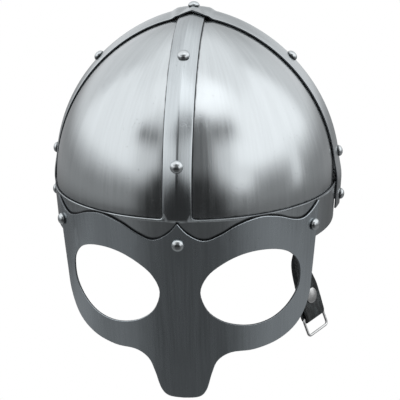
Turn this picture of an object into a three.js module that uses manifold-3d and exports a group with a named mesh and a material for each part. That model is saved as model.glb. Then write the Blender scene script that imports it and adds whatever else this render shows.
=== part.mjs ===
// Spangenhelm helmet with a spectacle mask, in millimetres.
// +Z is up, the face looks towards -Y, and +X is the wearer's left.
// The origin is the centre of the head opening, in the plane of the brow band's lower rim.

import * as THREE from 'three';
import { mergeVertices } from 'three/addons/utils/BufferGeometryUtils.js';
import Module from 'manifold-3d';

const wasm = await Module();
wasm.setup();

// ---- Driving dimensions -------------------------------------------------------------------

const SHEET = 1.2;                // every steel plate and band
const GAP = 0.3;                  // between pieces that lie on each other

const BROW_HEIGHT = 27.5;
const BROW_HALF_WIDTH = 101.5;    // outer face of the brow band at its top edge, ear to ear
const BROW_HALF_LENGTH = 109.3;   // the same, front to back
const SIDE_TAPER = 0.03;          // the band leans inwards by this much per mm going down, at the ears
const END_TAPER = 0.15;           // and at the forehead and nape

const DOME_RISE = 114.2;          // from the brow band's top edge to the apex of the plates
const DOME_PLAN_POWER = 1.7;      // below 2, so the dome comes to a slight point
const DOME_RISE_POWER = 2.04;
const PLATE_TUCK = 9;             // how far the plates reach down behind the brow band
const PLATE_TUCK_SHRINK = 0.9875; // their lower edge is this much smaller than their widest section
const ROUND_SEGMENTS = 40;        // facets round the helmet

const RIDGE_RISE = 2.4;           // medial ridge of the crest band
const BAND_RIDGE_RISE = 3;        // and of the ear-to-ear band
const RIDGE_LOW_SHARE = 0.45;     // share of it that the crest band keeps at its ends, over the brow band
const RIDGE_LOW_START = 76;       // degrees from the apex where it starts to flatten
const CREST_HALF_WIDTH = 8.8;     // fore-and-aft crest band
const CREST_WELD = 3;             // how far its ends run down inside the brow band
const CREST_INSET = 0.2;          // and how far inside its faces they stay
const BAND_HALF_WIDTH = 15;       // ear-to-ear band
const BAND_TAIL = 20.4;           // how far its ends hang over the brow band
const BAND_STAND_OFF = SHEET + GAP;  // it clears the brow band and the crest band by this
const STAND_OFF_START = 82;       // degrees from the apex where it starts to lift off the plates
const STAND_OFF_END = 90;         // and where it has its whole stand-off
const CREST_RAMP = [1, 6];        // it comes down from the crest band between these distances from its edge
const CREST_RIDGE_SPREAD = 0.5;   // its own fold over the crest band's ridge is this much wider

const RIVET_HEAD_RADIUS = 4;
const RIVET_HEAD_HEIGHT = 3.2;
const RIVET_SHANK_RADIUS = 1.6;
const RIVET_TAIL_RADIUS = 2.6;
const RIVET_TAIL_HEIGHT = 1;
const RIDGE_SEAT = 0.4;           // a rivet head sinks this far into the ridge
const RIVET_SIDES = 8;

const STRAP_THICKNESS = 2.2;
const STRAP_HALF_WIDTH = 9.3;
const STRAP_STAND_OFF = 0.6;      // the flat strap's middle stands off the round wall, so its edges clear it
const WIRE_RADIUS = 0.9;
const LOOP_HALF_WIDTH = 10.6;     // to the middle of the wire
const LOOP_LENGTH = 12.3;
const LOOP_CORNER = 2.2;
const STRAP_RIVET_RADIUS = 5.5;
const STRAP_RIVET_HEIGHT = 1.2;

// ---- Finishes -----------------------------------------------------------------------------

const plateSteel = new THREE.MeshStandardMaterial({ color: 0x9da4a8, roughness: 0.32, metalness: 1 });
const bandSteel = new THREE.MeshStandardMaterial({ color: 0x8b9297, roughness: 0.36, metalness: 1 });
const maskSteel = new THREE.MeshStandardMaterial({ color: 0x6f767b, roughness: 0.4, metalness: 1 });
const rivetSteel = new THREE.MeshStandardMaterial({ color: 0x9aa0a4, roughness: 0.25, metalness: 1 });
const darkLeather = new THREE.MeshStandardMaterial({ color: 0x222426, roughness: 0.6, metalness: 0 });
const wireSteel = new THREE.MeshStandardMaterial({ color: 0xa9adae, roughness: 0.25, metalness: 1 });

// ---- Surfaces of the helmet ---------------------------------------------------------------

const DOME_HALF_WIDTH = BROW_HALF_WIDTH - SHEET - GAP;
const DOME_HALF_LENGTH = BROW_HALF_LENGTH - SHEET - GAP;
const FACE_RADIUS = 104;          // lengths round the face are measured on this radius
const SMALL_TURN = 0.02;          // radians either side of a place, for the wall's direction there

/** A point and the outward normal on the plates' outer face, over the plan point (x, y). */
function domeFrame(x, y) {
  const r = Math.min(Math.hypot(x / DOME_HALF_WIDTH, y / DOME_HALF_LENGTH), 1);
  const rise = DOME_RISE * (1 - r ** DOME_PLAN_POWER) ** (1 / DOME_RISE_POWER);
  const normal = new THREE.Vector3(0, 0, 1);
  if (r > 1e-6) {
    const slope = DOME_PLAN_POWER * r ** (DOME_PLAN_POWER - 2);
    const lean = (DOME_RISE_POWER / DOME_RISE) * (rise / DOME_RISE) ** (DOME_RISE_POWER - 1);
    normal.set((slope * x) / DOME_HALF_WIDTH ** 2, (slope * y) / DOME_HALF_LENGTH ** 2, lean).normalize();
  }
  return { point: new THREE.Vector3(x, y, BROW_HEIGHT + rise), normal };
}

/** How far out, from 0 to 1, the dome is at an angle in degrees down from the apex. */
function domeReach(angle) {
  return Math.sin(THREE.MathUtils.degToRad(Math.min(angle, 90))) ** (2 / DOME_PLAN_POWER);
}

/** Half width and half length of the brow band's outer face at a height, grown by lift. */
function wallAxes(z, lift) {
  const down = BROW_HEIGHT - z;
  return [BROW_HALF_WIDTH - SIDE_TAPER * down + lift, BROW_HALF_LENGTH - END_TAPER * down + lift];
}

/** A point on the upright wall of the helmet, at a turn from the front towards +X. */
function wallPoint(turn, z, lift) {
  const [halfWidth, halfLength] = wallAxes(z, lift);
  return new THREE.Vector3(halfWidth * Math.sin(turn), -halfLength * Math.cos(turn), z);
}

/** The level direction of the wall at a turn, towards growing turns. */
function wallTangent(turn) {
  return wallPoint(turn + SMALL_TURN, 0, 0).sub(wallPoint(turn - SMALL_TURN, 0, 0)).normalize();
}

/** A station runs over the helmet: degrees from the apex up to 90, then millimetres down the brow. */
function stationPoint(across, station, lift, alongX) {
  const side = Math.sign(station);
  const angle = Math.abs(station);
  const [alongAxis, acrossAxis] = alongX
    ? [DOME_HALF_WIDTH, DOME_HALF_LENGTH]
    : [DOME_HALF_LENGTH, DOME_HALF_WIDTH];
  let along;
  let point;
  if (angle <= 90) {
    along = side * alongAxis * domeReach(angle) * Math.sqrt(1 - (across / acrossAxis) ** 2);
    const frame = alongX ? domeFrame(along, across) : domeFrame(across, along);
    point = frame.point.addScaledVector(frame.normal, lift);
  } else {
    const z = BROW_HEIGHT - (angle - 90);
    const axes = wallAxes(z, lift - SHEET - GAP);
    const [reach, spread] = alongX ? axes : [axes[1], axes[0]];
    along = side * reach * Math.sqrt(1 - (across / spread) ** 2);
    point = alongX ? new THREE.Vector3(along, across, z) : new THREE.Vector3(across, along, z);
  }
  return point;
}

// ---- Making, bending, joining and cutting ---------------------------------------------------

/** Moves every vertex of a geometry by a function of its place. */
function bend(geometry, place) {
  const position = geometry.attributes.position;
  const vertex = new THREE.Vector3();
  for (let i = 0; i < position.count; i += 1) {
    const moved = place(vertex.fromBufferAttribute(position, i));
    position.setXYZ(i, moved.x, moved.y, moved.z);
  }
  return geometry;
}

/** Leaves a geometry with nothing but merged positions. */
function bare(geometry) {
  const plain = geometry.clone();
  plain.deleteAttribute('normal');
  plain.deleteAttribute('uv');
  return mergeVertices(plain, 1e-4);
}

function toSolid(geometry) {
  const merged = bare(geometry);
  return new wasm.Manifold(new wasm.Mesh({
    numProp: 3,
    vertProperties: new Float32Array(merged.attributes.position.array),
    triVerts: new Uint32Array(merged.index.array),
  }));
}

function toGeometry(solid) {
  const { vertProperties, triVerts } = solid.getMesh();
  const geometry = new THREE.BufferGeometry();
  geometry.setAttribute('position', new THREE.BufferAttribute(vertProperties, 3));
  geometry.setIndex(new THREE.BufferAttribute(triVerts, 1));
  return geometry;
}

/** A flat grid of one sheet, given by lists of places along its two sides. */
function sheetGrid(acrossPlaces, alongPlaces, place) {
  const columns = acrossPlaces.length - 1;
  const rows = alongPlaces.length - 1;
  const grid = new THREE.BoxGeometry(columns, rows, 1, columns, rows, 1);
  return bend(grid, (v) => place(
    acrossPlaces[Math.round(v.x + columns / 2)],
    alongPlaces[Math.round(v.y + rows / 2)],
    v.z > 0,
  ));
}

function evenSteps(from, to, count) {
  return Array.from({ length: count + 1 }, (_, i) => from + ((to - from) * i) / count);
}

/** Stations from one end of a band to the other, closer together where it crosses the apex. */
function bandStations(tail, tailSteps) {
  const half = [0, 2, 4, 7, 11, ...evenSteps(15, 90, 14), ...evenSteps(90, 90 + tail, tailSteps).slice(1)];
  return [...half.slice(1).reverse().map((station) => -station), ...half];
}

// ---- Skull plates ---------------------------------------------------------------------------

/** The whole skull as one bowl, from which the four plates are cut. */
function skullBowl() {
  const outer = evenSteps(0, 90, 9).map((angle) => {
    const { point } = domeFrame(DOME_HALF_WIDTH * domeReach(angle), 0);
    return new THREE.Vector2(point.x, point.z);
  });
  const inner = evenSteps(0, 90, 9).map((angle) => {
    const { point, normal } = domeFrame(DOME_HALF_WIDTH * domeReach(angle), 0);
    point.addScaledVector(normal, -SHEET);
    return new THREE.Vector2(Math.max(point.x, 0), point.z);
  });
  const hem = DOME_HALF_WIDTH * PLATE_TUCK_SHRINK;
  outer.push(new THREE.Vector2(hem, BROW_HEIGHT - PLATE_TUCK));
  inner.push(new THREE.Vector2(hem - SHEET, BROW_HEIGHT - PLATE_TUCK));
  const bowl = new THREE.LatheGeometry([...inner, ...outer.reverse()], ROUND_SEGMENTS);
  return toSolid(bowl.rotateX(Math.PI / 2).scale(1, DOME_HALF_LENGTH / DOME_HALF_WIDTH, 1));
}

/** The quarter of the bowl on one side in X and in Y. The plates meet under the middle of the bands. */
function skullPlate(bowl, sideX, sideY) {
  const reach = 2 * DOME_HALF_LENGTH;
  const quarter = new THREE.BoxGeometry(reach, reach, reach);
  quarter.translate(sideX * (reach + GAP) / 2, sideY * (reach + GAP) / 2, reach / 2);
  return bowl.intersect(toSolid(quarter));
}

// ---- Brow band and crest band, welded into one frame ------------------------------------------

function ridge(across, halfWidth, height) {
  return height * Math.max(1 - Math.abs(across) / halfWidth, 0);
}

function browBand() {
  const section = [[-SHEET, 0], [0, 0], [0, BROW_HEIGHT], [-SHEET, BROW_HEIGHT], [-SHEET, 0]];
  const profile = section.map(([lift, z]) => new THREE.Vector2(BROW_HALF_WIDTH + lift, z));
  const ring = new THREE.LatheGeometry(profile, ROUND_SEGMENTS).rotateX(Math.PI / 2);
  return toSolid(bend(ring, (v) => {
    const lift = Math.hypot(v.x, v.y) - BROW_HALF_WIDTH;
    return wallPoint(Math.atan2(v.x, -v.y), v.z, lift);
  }));
}

/** The crest band. Its ends run a little way down inside the brow band, and its ridge fades there. */
function crestBand() {
  const across = evenSteps(-CREST_HALF_WIDTH, CREST_HALF_WIDTH, 4);
  return toSolid(sheetGrid(across, bandStations(CREST_WELD, 2), (w, station, isOuter) => {
    const angle = Math.abs(station);
    const intoBrow = Math.max(angle - 90, 0) / CREST_WELD;
    const flattened = (1 - RIDGE_LOW_SHARE) * THREE.MathUtils.smoothstep(angle, RIDGE_LOW_START, 90);
    const rise = ridge(w, CREST_HALF_WIDTH, RIDGE_RISE) * (1 - flattened) * (1 - intoBrow);
    const sink = intoBrow > 0 ? CREST_INSET : 0;
    const lift = isOuter ? GAP + SHEET - sink : GAP + sink;
    return stationPoint(w, station, lift + rise, false);
  }));
}

// ---- Transverse band --------------------------------------------------------------------------

/** Height of the transverse band's inner face over the plates. */
function bandLift(across, station) {
  const { smoothstep } = THREE.MathUtils;
  const x = DOME_HALF_WIDTH * domeReach(Math.abs(station));
  const [rampEnd, rampStart] = CREST_RAMP.map((away) => CREST_HALF_WIDTH + away);
  const overCrest = 1 - smoothstep(x, rampEnd, rampStart);
  const overBrow = smoothstep(Math.abs(station), STAND_OFF_START, STAND_OFF_END);
  const ownRidge = ridge(across, BAND_HALF_WIDTH, BAND_RIDGE_RISE);
  const crestRidge = ridge(x, CREST_HALF_WIDTH + CREST_RIDGE_SPREAD, BAND_RIDGE_RISE);
  return GAP + BAND_STAND_OFF * Math.max(overCrest, overBrow) + Math.max(ownRidge, crestRidge);
}

/** The band from ear to ear. It runs along X, so w is taken backwards to keep its outer face outside. */
function transverseBand() {
  const across = evenSteps(-BAND_HALF_WIDTH, BAND_HALF_WIDTH, 6);
  return toSolid(sheetGrid(across, bandStations(BAND_TAIL, 3), (w, station, isOuter) => {
    const lift = bandLift(w, station) + (isOuter ? SHEET : 0);
    return stationPoint(-w, station, lift, true);
  }));
}

// ---- Face mask --------------------------------------------------------------------------------

// The mask's outline, as lengths round the face from its middle and heights over the rim.
// The upper edge: a peak in the middle, an arch over each eye and a point at each temple.
const MASK_UPPER = [[0, 25.2], [6.3, 18.1], [15.9, 13.5], [25.5, 16.3], [38, 22.8], [52.5, 26.4], [66, 24.5],
  [79, 19.9], [88.3, 18.5], [97, 21.5], [105.3, 27]];
// The side, down to where the cheek turns under.
const MASK_SIDE = [[103.9, 2], [102, -25], [100, -42], [89.6, -57.2], [72, -66]];
// The lower edge: under the eye, then down the nasal.
const MASK_LOWER = [[51, -69.6], [34, -69.4], [24.4, -74.8], [20, -85.3], [16.4, -97.8], [11, -103.8],
  [0, -105]];
const EYE = [[13.4, -23], [18, -11.5], [27, -3.8], [38.5, 1.6], [51, 3.5], [65, 2], [77, -3], [85.6, -12],
  [88, -22], [86.3, -31], [80, -39], [71, -45.3], [61, -49], [49, -50.2], [37, -48.3], [26.5, -44],
  [17.7, -36]];
const EYE_MIDDLE = [51, -23];
const MASK_RIVET_TURN = 100 / FACE_RADIUS;
const MASK_RIVET_HEIGHT = 11;
const MASK_BLANK = { halfWidth: 108, low: -108, high: 30 };  // the sheet that the mask is cut from
const CUTTER_DEPTH = 36;
const HALF_OVERLAP = 2;           // each half of the outline reaches this far over the middle
const BROW_TRIM = 1.035;          // the brow band is cut back behind the eyes, this much wider than them

/** A cutter made from a flat outline, bent onto the face so that its sides are square to the sheet. */
function faceCutter(outline) {
  const settings = { depth: CUTTER_DEPTH, bevelEnabled: false, curveSegments: 2 };
  const flat = new THREE.ExtrudeGeometry(outline, settings).translate(0, 0, -CUTTER_DEPTH / 2);
  return toSolid(bend(flat, (v) => wallPoint(v.x / FACE_RADIUS, v.y, v.z)));
}

/** Half of the mask's outline, reaching a little over the middle. side is 1 or -1. */
function maskHalf(side) {
  const points = (list) => list.map(([u, z]) => new THREE.Vector2(side * u, z));
  const half = new THREE.Shape();
  half.moveTo(0, MASK_UPPER[0][1]);
  half.splineThru(points(MASK_UPPER.slice(1)));
  half.splineThru(points([...MASK_SIDE, ...MASK_LOWER]));
  half.lineTo(-side * HALF_OVERLAP, MASK_LOWER.at(-1)[1] + HALF_OVERLAP / 2);
  half.lineTo(-side * HALF_OVERLAP, MASK_UPPER[0][1] - 2 * HALF_OVERLAP);
  return half;
}

/** An eye opening's outline, grown about its middle. */
function eyeHole(side, grown) {
  const [middleU, middleZ] = EYE_MIDDLE;
  const ring = new THREE.CatmullRomCurve3(EYE.map(([u, z]) => new THREE.Vector3(
    side * (middleU + (u - middleU) * grown),
    middleZ + (z - middleZ) * grown,
    0,
  )), true);
  return new THREE.Shape(ring.getPoints(2 * EYE.length).map((p) => new THREE.Vector2(p.x, p.y)).slice(1));
}

function faceMask() {
  const { halfWidth, low, high } = MASK_BLANK;
  const around = evenSteps(-halfWidth, halfWidth, 24);
  const heights = evenSteps(low, high, 5);
  let mask = toSolid(sheetGrid(around, heights, (u, z, isOuter) => (
    wallPoint(u / FACE_RADIUS, z, isOuter ? GAP + SHEET : GAP))));
  mask = mask.intersect(faceCutter(maskHalf(1)).add(faceCutter(maskHalf(-1))));
  return mask.subtract(faceCutter(eyeHole(1, 1))).subtract(faceCutter(eyeHole(-1, 1)));
}

/** Brow band and crest band in one, cut back at the front so that the brow band clears the eyes. */
function bandFrame() {
  const frame = browBand().add(crestBand());
  return frame.subtract(faceCutter(eyeHole(1, BROW_TRIM))).subtract(faceCutter(eyeHole(-1, BROW_TRIM)));
}

// ---- Rivets -----------------------------------------------------------------------------------

/** A rivet whose head stands on z = 0 and whose tail is spread under a stack of plates. */
function rivetGeometry({ headRadius, headHeight, tailRadius, grip }) {
  const dome = evenSteps(0, 90, 4).map((angle) => {
    const turn = THREE.MathUtils.degToRad(angle);
    return new THREE.Vector2(headRadius * Math.cos(turn), headHeight * Math.sin(turn));
  });
  dome.at(-1).x = 0;
  const profile = [
    new THREE.Vector2(0, -grip - RIVET_TAIL_HEIGHT),
    new THREE.Vector2(tailRadius, -grip - RIVET_TAIL_HEIGHT),
    new THREE.Vector2(tailRadius, -grip),
    new THREE.Vector2(RIVET_SHANK_RADIUS, -grip),
    new THREE.Vector2(RIVET_SHANK_RADIUS, 0),
    ...dome,
  ];
  return new THREE.LatheGeometry(profile, RIVET_SIDES).rotateX(Math.PI / 2);
}

/** The room that a rivet needs in the sheets it joins: a hole, and seats for head and tail. */
function rivetRoom({ headRadius, headHeight, tailRadius, grip }) {
  const past = -grip - 3 * RIVET_TAIL_HEIGHT;
  const profile = [[0, past], [tailRadius + GAP, past], [tailRadius + GAP, -grip + GAP],
    [RIVET_SHANK_RADIUS + GAP, -grip + GAP], [RIVET_SHANK_RADIUS + GAP, -GAP], [headRadius + GAP, -GAP],
    [headRadius + GAP, headHeight], [0, headHeight]];
  const room = new THREE.LatheGeometry(profile.map(([r, z]) => new THREE.Vector2(r, z)), RIVET_SIDES);
  return room.rotateX(Math.PI / 2);
}

/** Where a rivet on a band stands: on its ridge, at a station, with the stack's depth under it. */
function bandRivet(name, station, alongX, sheetLift, joins) {
  const ridgeRise = alongX ? BAND_RIDGE_RISE : RIDGE_RISE;
  const foot = stationPoint(0, station, 0, alongX);
  const tip = stationPoint(0, station, SHEET, alongX);
  const normal = tip.sub(foot).normalize();
  const seat = sheetLift + ridgeRise - RIDGE_SEAT;
  const plateInside = Math.abs(station) > 90 ? 0 : -SHEET;
  return { name, joins, normal, point: foot.addScaledVector(normal, seat), grip: seat - plateInside + GAP };
}

/** Where a rivet through the mask and the brow band stands. */
function maskRivet(name, turn, extraGrip, joins) {
  const foot = wallPoint(turn, MASK_RIVET_HEIGHT, 0);
  const normal = wallTangent(turn).cross(new THREE.Vector3(0, 0, 1)).normalize();
  const seat = 2 * GAP + SHEET;
  const grip = seat + SHEET + GAP + extraGrip;
  return { name, joins, normal, point: foot.addScaledVector(normal, seat), grip };
}

const PLATE_NAMES = ['skull_plate_front_left', 'skull_plate_front_right', 'skull_plate_back_left',
  'skull_plate_back_right'];
const FRAME = 'brow_and_crest_frame';
const BAND = 'transverse_band';
const ON_CREST = GAP + SHEET;
const OVER_BROW = ON_CREST + BAND_STAND_OFF;
const CREST_UPPER = 38.4;
const CREST_LOWER = 74.6;
const BAND_UPPER = 44;
const BAND_MIDDLE = 81.3;
const BAND_LOWER = 90 + 13.3;

const bandRivets = [
  bandRivet('rivet_apex', 0, true, OVER_BROW, [BAND, FRAME, ...PLATE_NAMES]),
  ...[['front', -1], ['back', 1]].flatMap(([end, side]) => [
    bandRivet(`rivet_crest_${end}_upper`, side * CREST_UPPER, false, ON_CREST, [FRAME, ...PLATE_NAMES]),
    bandRivet(`rivet_crest_${end}_lower`, side * CREST_LOWER, false, ON_CREST, [FRAME, ...PLATE_NAMES]),
  ]),
  ...[['left', 1], ['right', -1]].flatMap(([end, side]) => [
    bandRivet(`rivet_band_${end}_upper`, side * BAND_UPPER, true, ON_CREST, [BAND, ...PLATE_NAMES]),
    bandRivet(`rivet_band_${end}_middle`, side * BAND_MIDDLE, true,
      bandLift(0, BAND_MIDDLE) - BAND_RIDGE_RISE + SHEET, [BAND, ...PLATE_NAMES]),
    bandRivet(`rivet_band_${end}_lower`, side * BAND_LOWER, true, OVER_BROW, [BAND, FRAME]),
  ]),
];
const maskRivets = [
  maskRivet('rivet_mask_centre', 0, 0, ['face_mask', FRAME]),
  maskRivet('rivet_mask_right', -MASK_RIVET_TURN, 0, ['face_mask', FRAME]),
  maskRivet('rivet_mask_left', MASK_RIVET_TURN, STRAP_STAND_OFF + STRAP_THICKNESS + GAP,
    ['face_mask', FRAME, 'chin_strap']),
];
const DOMED_HEAD = {
  headRadius: RIVET_HEAD_RADIUS,
  headHeight: RIVET_HEAD_HEIGHT,
  tailRadius: RIVET_TAIL_RADIUS,
  material: rivetSteel,
};
const rivets = [...bandRivets, ...maskRivets].map((rivet) => ({ ...DOMED_HEAD, ...rivet }));

// ---- Chin strap and buckle loop -------------------------------------------------------------------

const BUCKLE_BAR = new THREE.Vector3(86.2, -45.2, -61.2);           // middle of the bar in the strap's fold
const BAR_AXIS = new THREE.Vector3(0.62, 0.77, 0.12).normalize();
const STRAP_LEAN = THREE.MathUtils.degToRad(12);                    // the stiff strap stands away from the head
const LOOP_LEAN = THREE.MathUtils.degToRad(9);                      // and the loop leans out a little more
const HANG = new THREE.Vector3(0, 0, -1).projectOnPlane(BAR_AXIS).normalize()
  .applyAxisAngle(BAR_AXIS, -STRAP_LEAN);
const STRAP_FACE = new THREE.Vector3().crossVectors(HANG, BAR_AXIS).normalize();  // away from the head
const FOLD_RADIUS = WIRE_RADIUS + GAP + STRAP_THICKNESS / 2;
const LAYER_OFFSET = STRAP_THICKNESS / 2 + GAP;                     // each of the two layers from their middle
const STRAP_RIVET_DROP = -14.5;                                     // along the hang, from the bar
const TUCKED_END = -23;                                             // where the folded end stops
const STRAP_TWIST = [0.2, 0.34];    // shares of the strap between which it turns from the wall to the bar

/** A point near the buckle: along the hang, and out from the strap's middle. */
function buckleSpot(down, out) {
  return BUCKLE_BAR.clone().addScaledVector(HANG, down).addScaledVector(STRAP_FACE, out);
}

/** The strap's middle line: inside the brow band, down in a bow, round the bar and up behind itself. */
function strapLine() {
  const onBrow = -SHEET - GAP - STRAP_STAND_OFF - STRAP_THICKNESS / 2;
  const fold = evenSteps(0, 180, 4).map((angle) => {
    const turn = THREE.MathUtils.degToRad(angle);
    return buckleSpot(FOLD_RADIUS * Math.sin(turn), FOLD_RADIUS * Math.cos(turn));
  });
  return new THREE.CatmullRomCurve3([
    wallPoint(MASK_RIVET_TURN, 17, onBrow),
    wallPoint(MASK_RIVET_TURN, 11, onBrow),
    wallPoint(MASK_RIVET_TURN, 1, onBrow - 0.6),
    new THREE.Vector3(76, -53.3, -18),
    new THREE.Vector3(78.8, -51.9, -33),
    buckleSpot(STRAP_RIVET_DROP, LAYER_OFFSET),
    buckleSpot(-6, FOLD_RADIUS - 0.2),
    ...fold,
    buckleSpot(-6, -FOLD_RADIUS + 0.2),
    buckleSpot(STRAP_RIVET_DROP, -LAYER_OFFSET),
    buckleSpot(TUCKED_END, -LAYER_OFFSET - 0.8),
  ]);
}

function chinStrap() {
  const line = strapLine();
  const steps = 3 * (line.points.length - 1);
  const browWidth = wallTangent(MASK_RIVET_TURN);
  const across = [-STRAP_HALF_WIDTH, 0, STRAP_HALF_WIDTH];
  return toSolid(sheetGrid(across, evenSteps(0, 1, steps), (w, along, isOuter) => {
    const tangent = line.getTangent(along);
    const turned = THREE.MathUtils.smoothstep(along, ...STRAP_TWIST);
    const width = browWidth.clone().lerp(BAR_AXIS, turned).projectOnPlane(tangent).normalize();
    const face = new THREE.Vector3().crossVectors(width, tangent);
    return line.getPoint(along)
      .addScaledVector(width, w)
      .addScaledVector(face, (isOuter ? 1 : -1) * STRAP_THICKNESS / 2);
  }));
}

/** The wire loop: a ring bent to a rectangle with rounded corners, hanging from its bar. */
function buckleLoop() {
  const outline = new THREE.Path();
  const right = LOOP_HALF_WIDTH - LOOP_CORNER;
  const far = LOOP_LENGTH - LOOP_CORNER;
  outline.moveTo(0, 0);
  outline.absarc(right, LOOP_CORNER, LOOP_CORNER, -Math.PI / 2, 0);
  outline.absarc(right, far, LOOP_CORNER, 0, Math.PI / 2);
  outline.absarc(-right, far, LOOP_CORNER, Math.PI / 2, Math.PI);
  outline.absarc(-right, LOOP_CORNER, LOOP_CORNER, Math.PI, 1.5 * Math.PI);
  outline.lineTo(0, 0);
  const ring = new THREE.TorusGeometry(LOOP_LENGTH, WIRE_RADIUS, 8, 44);
  const hang = HANG.clone().applyAxisAngle(BAR_AXIS, -LOOP_LEAN);
  const face = STRAP_FACE.clone().applyAxisAngle(BAR_AXIS, -LOOP_LEAN);
  return bend(ring, (v) => {
    const along = (Math.atan2(v.y, v.x) / (2 * Math.PI) + 1) % 1;
    const spot = outline.getPointAt(along);
    const tangent = outline.getTangentAt(along);
    const outwards = Math.hypot(v.x, v.y) - LOOP_LENGTH;
    const w = spot.x + tangent.y * outwards;
    const down = spot.y - tangent.x * outwards;
    return BUCKLE_BAR.clone()
      .addScaledVector(BAR_AXIS, w)
      .addScaledVector(hang, down)
      .addScaledVector(face, -v.z);
  });
}

rivets.push({
  name: 'rivet_strap',
  joins: ['chin_strap'],
  material: wireSteel,
  headRadius: STRAP_RIVET_RADIUS,
  headHeight: STRAP_RIVET_HEIGHT,
  tailRadius: 4,
  normal: STRAP_FACE,
  point: buckleSpot(STRAP_RIVET_DROP, LAYER_OFFSET + STRAP_THICKNESS / 2 + GAP),
  grip: 2 * (LAYER_OFFSET + STRAP_THICKNESS / 2 + GAP),
});

// ---- Assembly -------------------------------------------------------------------------------------

const helmet = new THREE.Group();
const bowl = skullBowl();
const sheets = {
  skull_plate_front_left: [skullPlate(bowl, 1, -1), plateSteel],
  skull_plate_front_right: [skullPlate(bowl, -1, -1), plateSteel],
  skull_plate_back_left: [skullPlate(bowl, 1, 1), plateSteel],
  skull_plate_back_right: [skullPlate(bowl, -1, 1), plateSteel],
  brow_and_crest_frame: [bandFrame(), bandSteel],
  transverse_band: [transverseBand(), bandSteel],
  face_mask: [faceMask(), maskSteel],
  chin_strap: [chinStrap(), darkLeather],
};

/** Puts a mesh of this name into the helmet. */
function addPiece(name, geometry, material) {
  const mesh = new THREE.Mesh(geometry, material);
  mesh.name = name;
  helmet.add(mesh);
  return mesh;
}

for (const rivet of rivets) {
  const mesh = addPiece(rivet.name, rivetGeometry(rivet), rivet.material);
  mesh.position.copy(rivet.point);
  mesh.quaternion.setFromUnitVectors(new THREE.Vector3(0, 0, 1), rivet.normal);
  mesh.updateMatrix();
  const room = toSolid(rivetRoom(rivet).applyMatrix4(mesh.matrix));
  for (const name of rivet.joins) {
    sheets[name][0] = sheets[name][0].subtract(room);
  }
}
for (const [name, [solid, material]] of Object.entries(sheets)) {
  addPiece(name, toGeometry(solid), material);
}
addPiece('buckle_loop', buckleLoop(), wireSteel);

export default helmet;
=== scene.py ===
"""Spangenhelm helmet with a spectacle mask: its finished surfaces, light and camera.

The steel sheets are flat blanks that are cut out, bent over the helmet's form and given their thickness,
as a smith makes them. Lengths inside the form are millimetres, and every mesh is scaled to metres once.
+Z is up, the face looks towards -Y, and +X is the wearer's left.
"""

import logging
import math
from collections.abc import Callable, Iterable, Sequence
from dataclasses import dataclass, field
from enum import Enum

import bmesh
import bpy
from mathutils import Matrix, Vector


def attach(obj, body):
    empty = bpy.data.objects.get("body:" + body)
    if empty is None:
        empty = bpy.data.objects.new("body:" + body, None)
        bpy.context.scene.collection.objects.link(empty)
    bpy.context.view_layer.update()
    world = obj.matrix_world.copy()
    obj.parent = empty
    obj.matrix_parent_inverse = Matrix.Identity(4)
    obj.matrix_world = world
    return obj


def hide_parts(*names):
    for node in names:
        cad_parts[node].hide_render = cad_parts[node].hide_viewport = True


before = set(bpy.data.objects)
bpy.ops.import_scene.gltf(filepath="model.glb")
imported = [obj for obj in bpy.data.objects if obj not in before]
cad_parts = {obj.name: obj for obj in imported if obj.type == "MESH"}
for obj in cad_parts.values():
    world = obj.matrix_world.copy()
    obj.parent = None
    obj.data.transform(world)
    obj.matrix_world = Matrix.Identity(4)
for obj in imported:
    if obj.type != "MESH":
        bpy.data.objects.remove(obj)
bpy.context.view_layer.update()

LOG = logging.getLogger("spangenhelm")
MM = 0.001
HELMET_BODY = "helmet"
BUCKLE_BODY = "buckle"
ON_MAP = 0.01    # one millimetre of a blank, on its UV map
WELD = 1e-3      # points nearer than this become one

Point = tuple[float, float]
Triple = tuple[float, float, float]
Colour = Triple
Inputs = dict[str | int, object]
Place = Callable[[float, float], Vector]


class Over(Enum):
    """The way a band runs over the skull."""

    FORE_AND_AFT = "fore_and_aft"
    EAR_TO_EAR = "ear_to_ear"


def smooth(value: float, low: float, high: float) -> float:
    """Returns 0 below low, 1 above high, and a smooth step between them."""
    share = min(max((value - low) / (high - low), 0.0), 1.0)
    return share * share * (3 - 2 * share)


def steps(low: float, high: float, size: float) -> list[float]:
    """Returns even places from low to high, about size apart."""
    count = max(round((high - low) / size), 1)
    return [low + (high - low) * index / count for index in range(count + 1)]


def arc(centre: Point, radius: float, turns: Iterable[float]) -> list[Point]:
    """Returns the points of a round corner, at turns in degrees from +X towards +Y."""
    leans = [math.radians(turn) for turn in turns]
    return [(centre[0] + radius * math.cos(lean), centre[1] + radius * math.sin(lean)) for lean in leans]


# ---- The form that every sheet is bent over ---------------------------------------------------------


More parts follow.
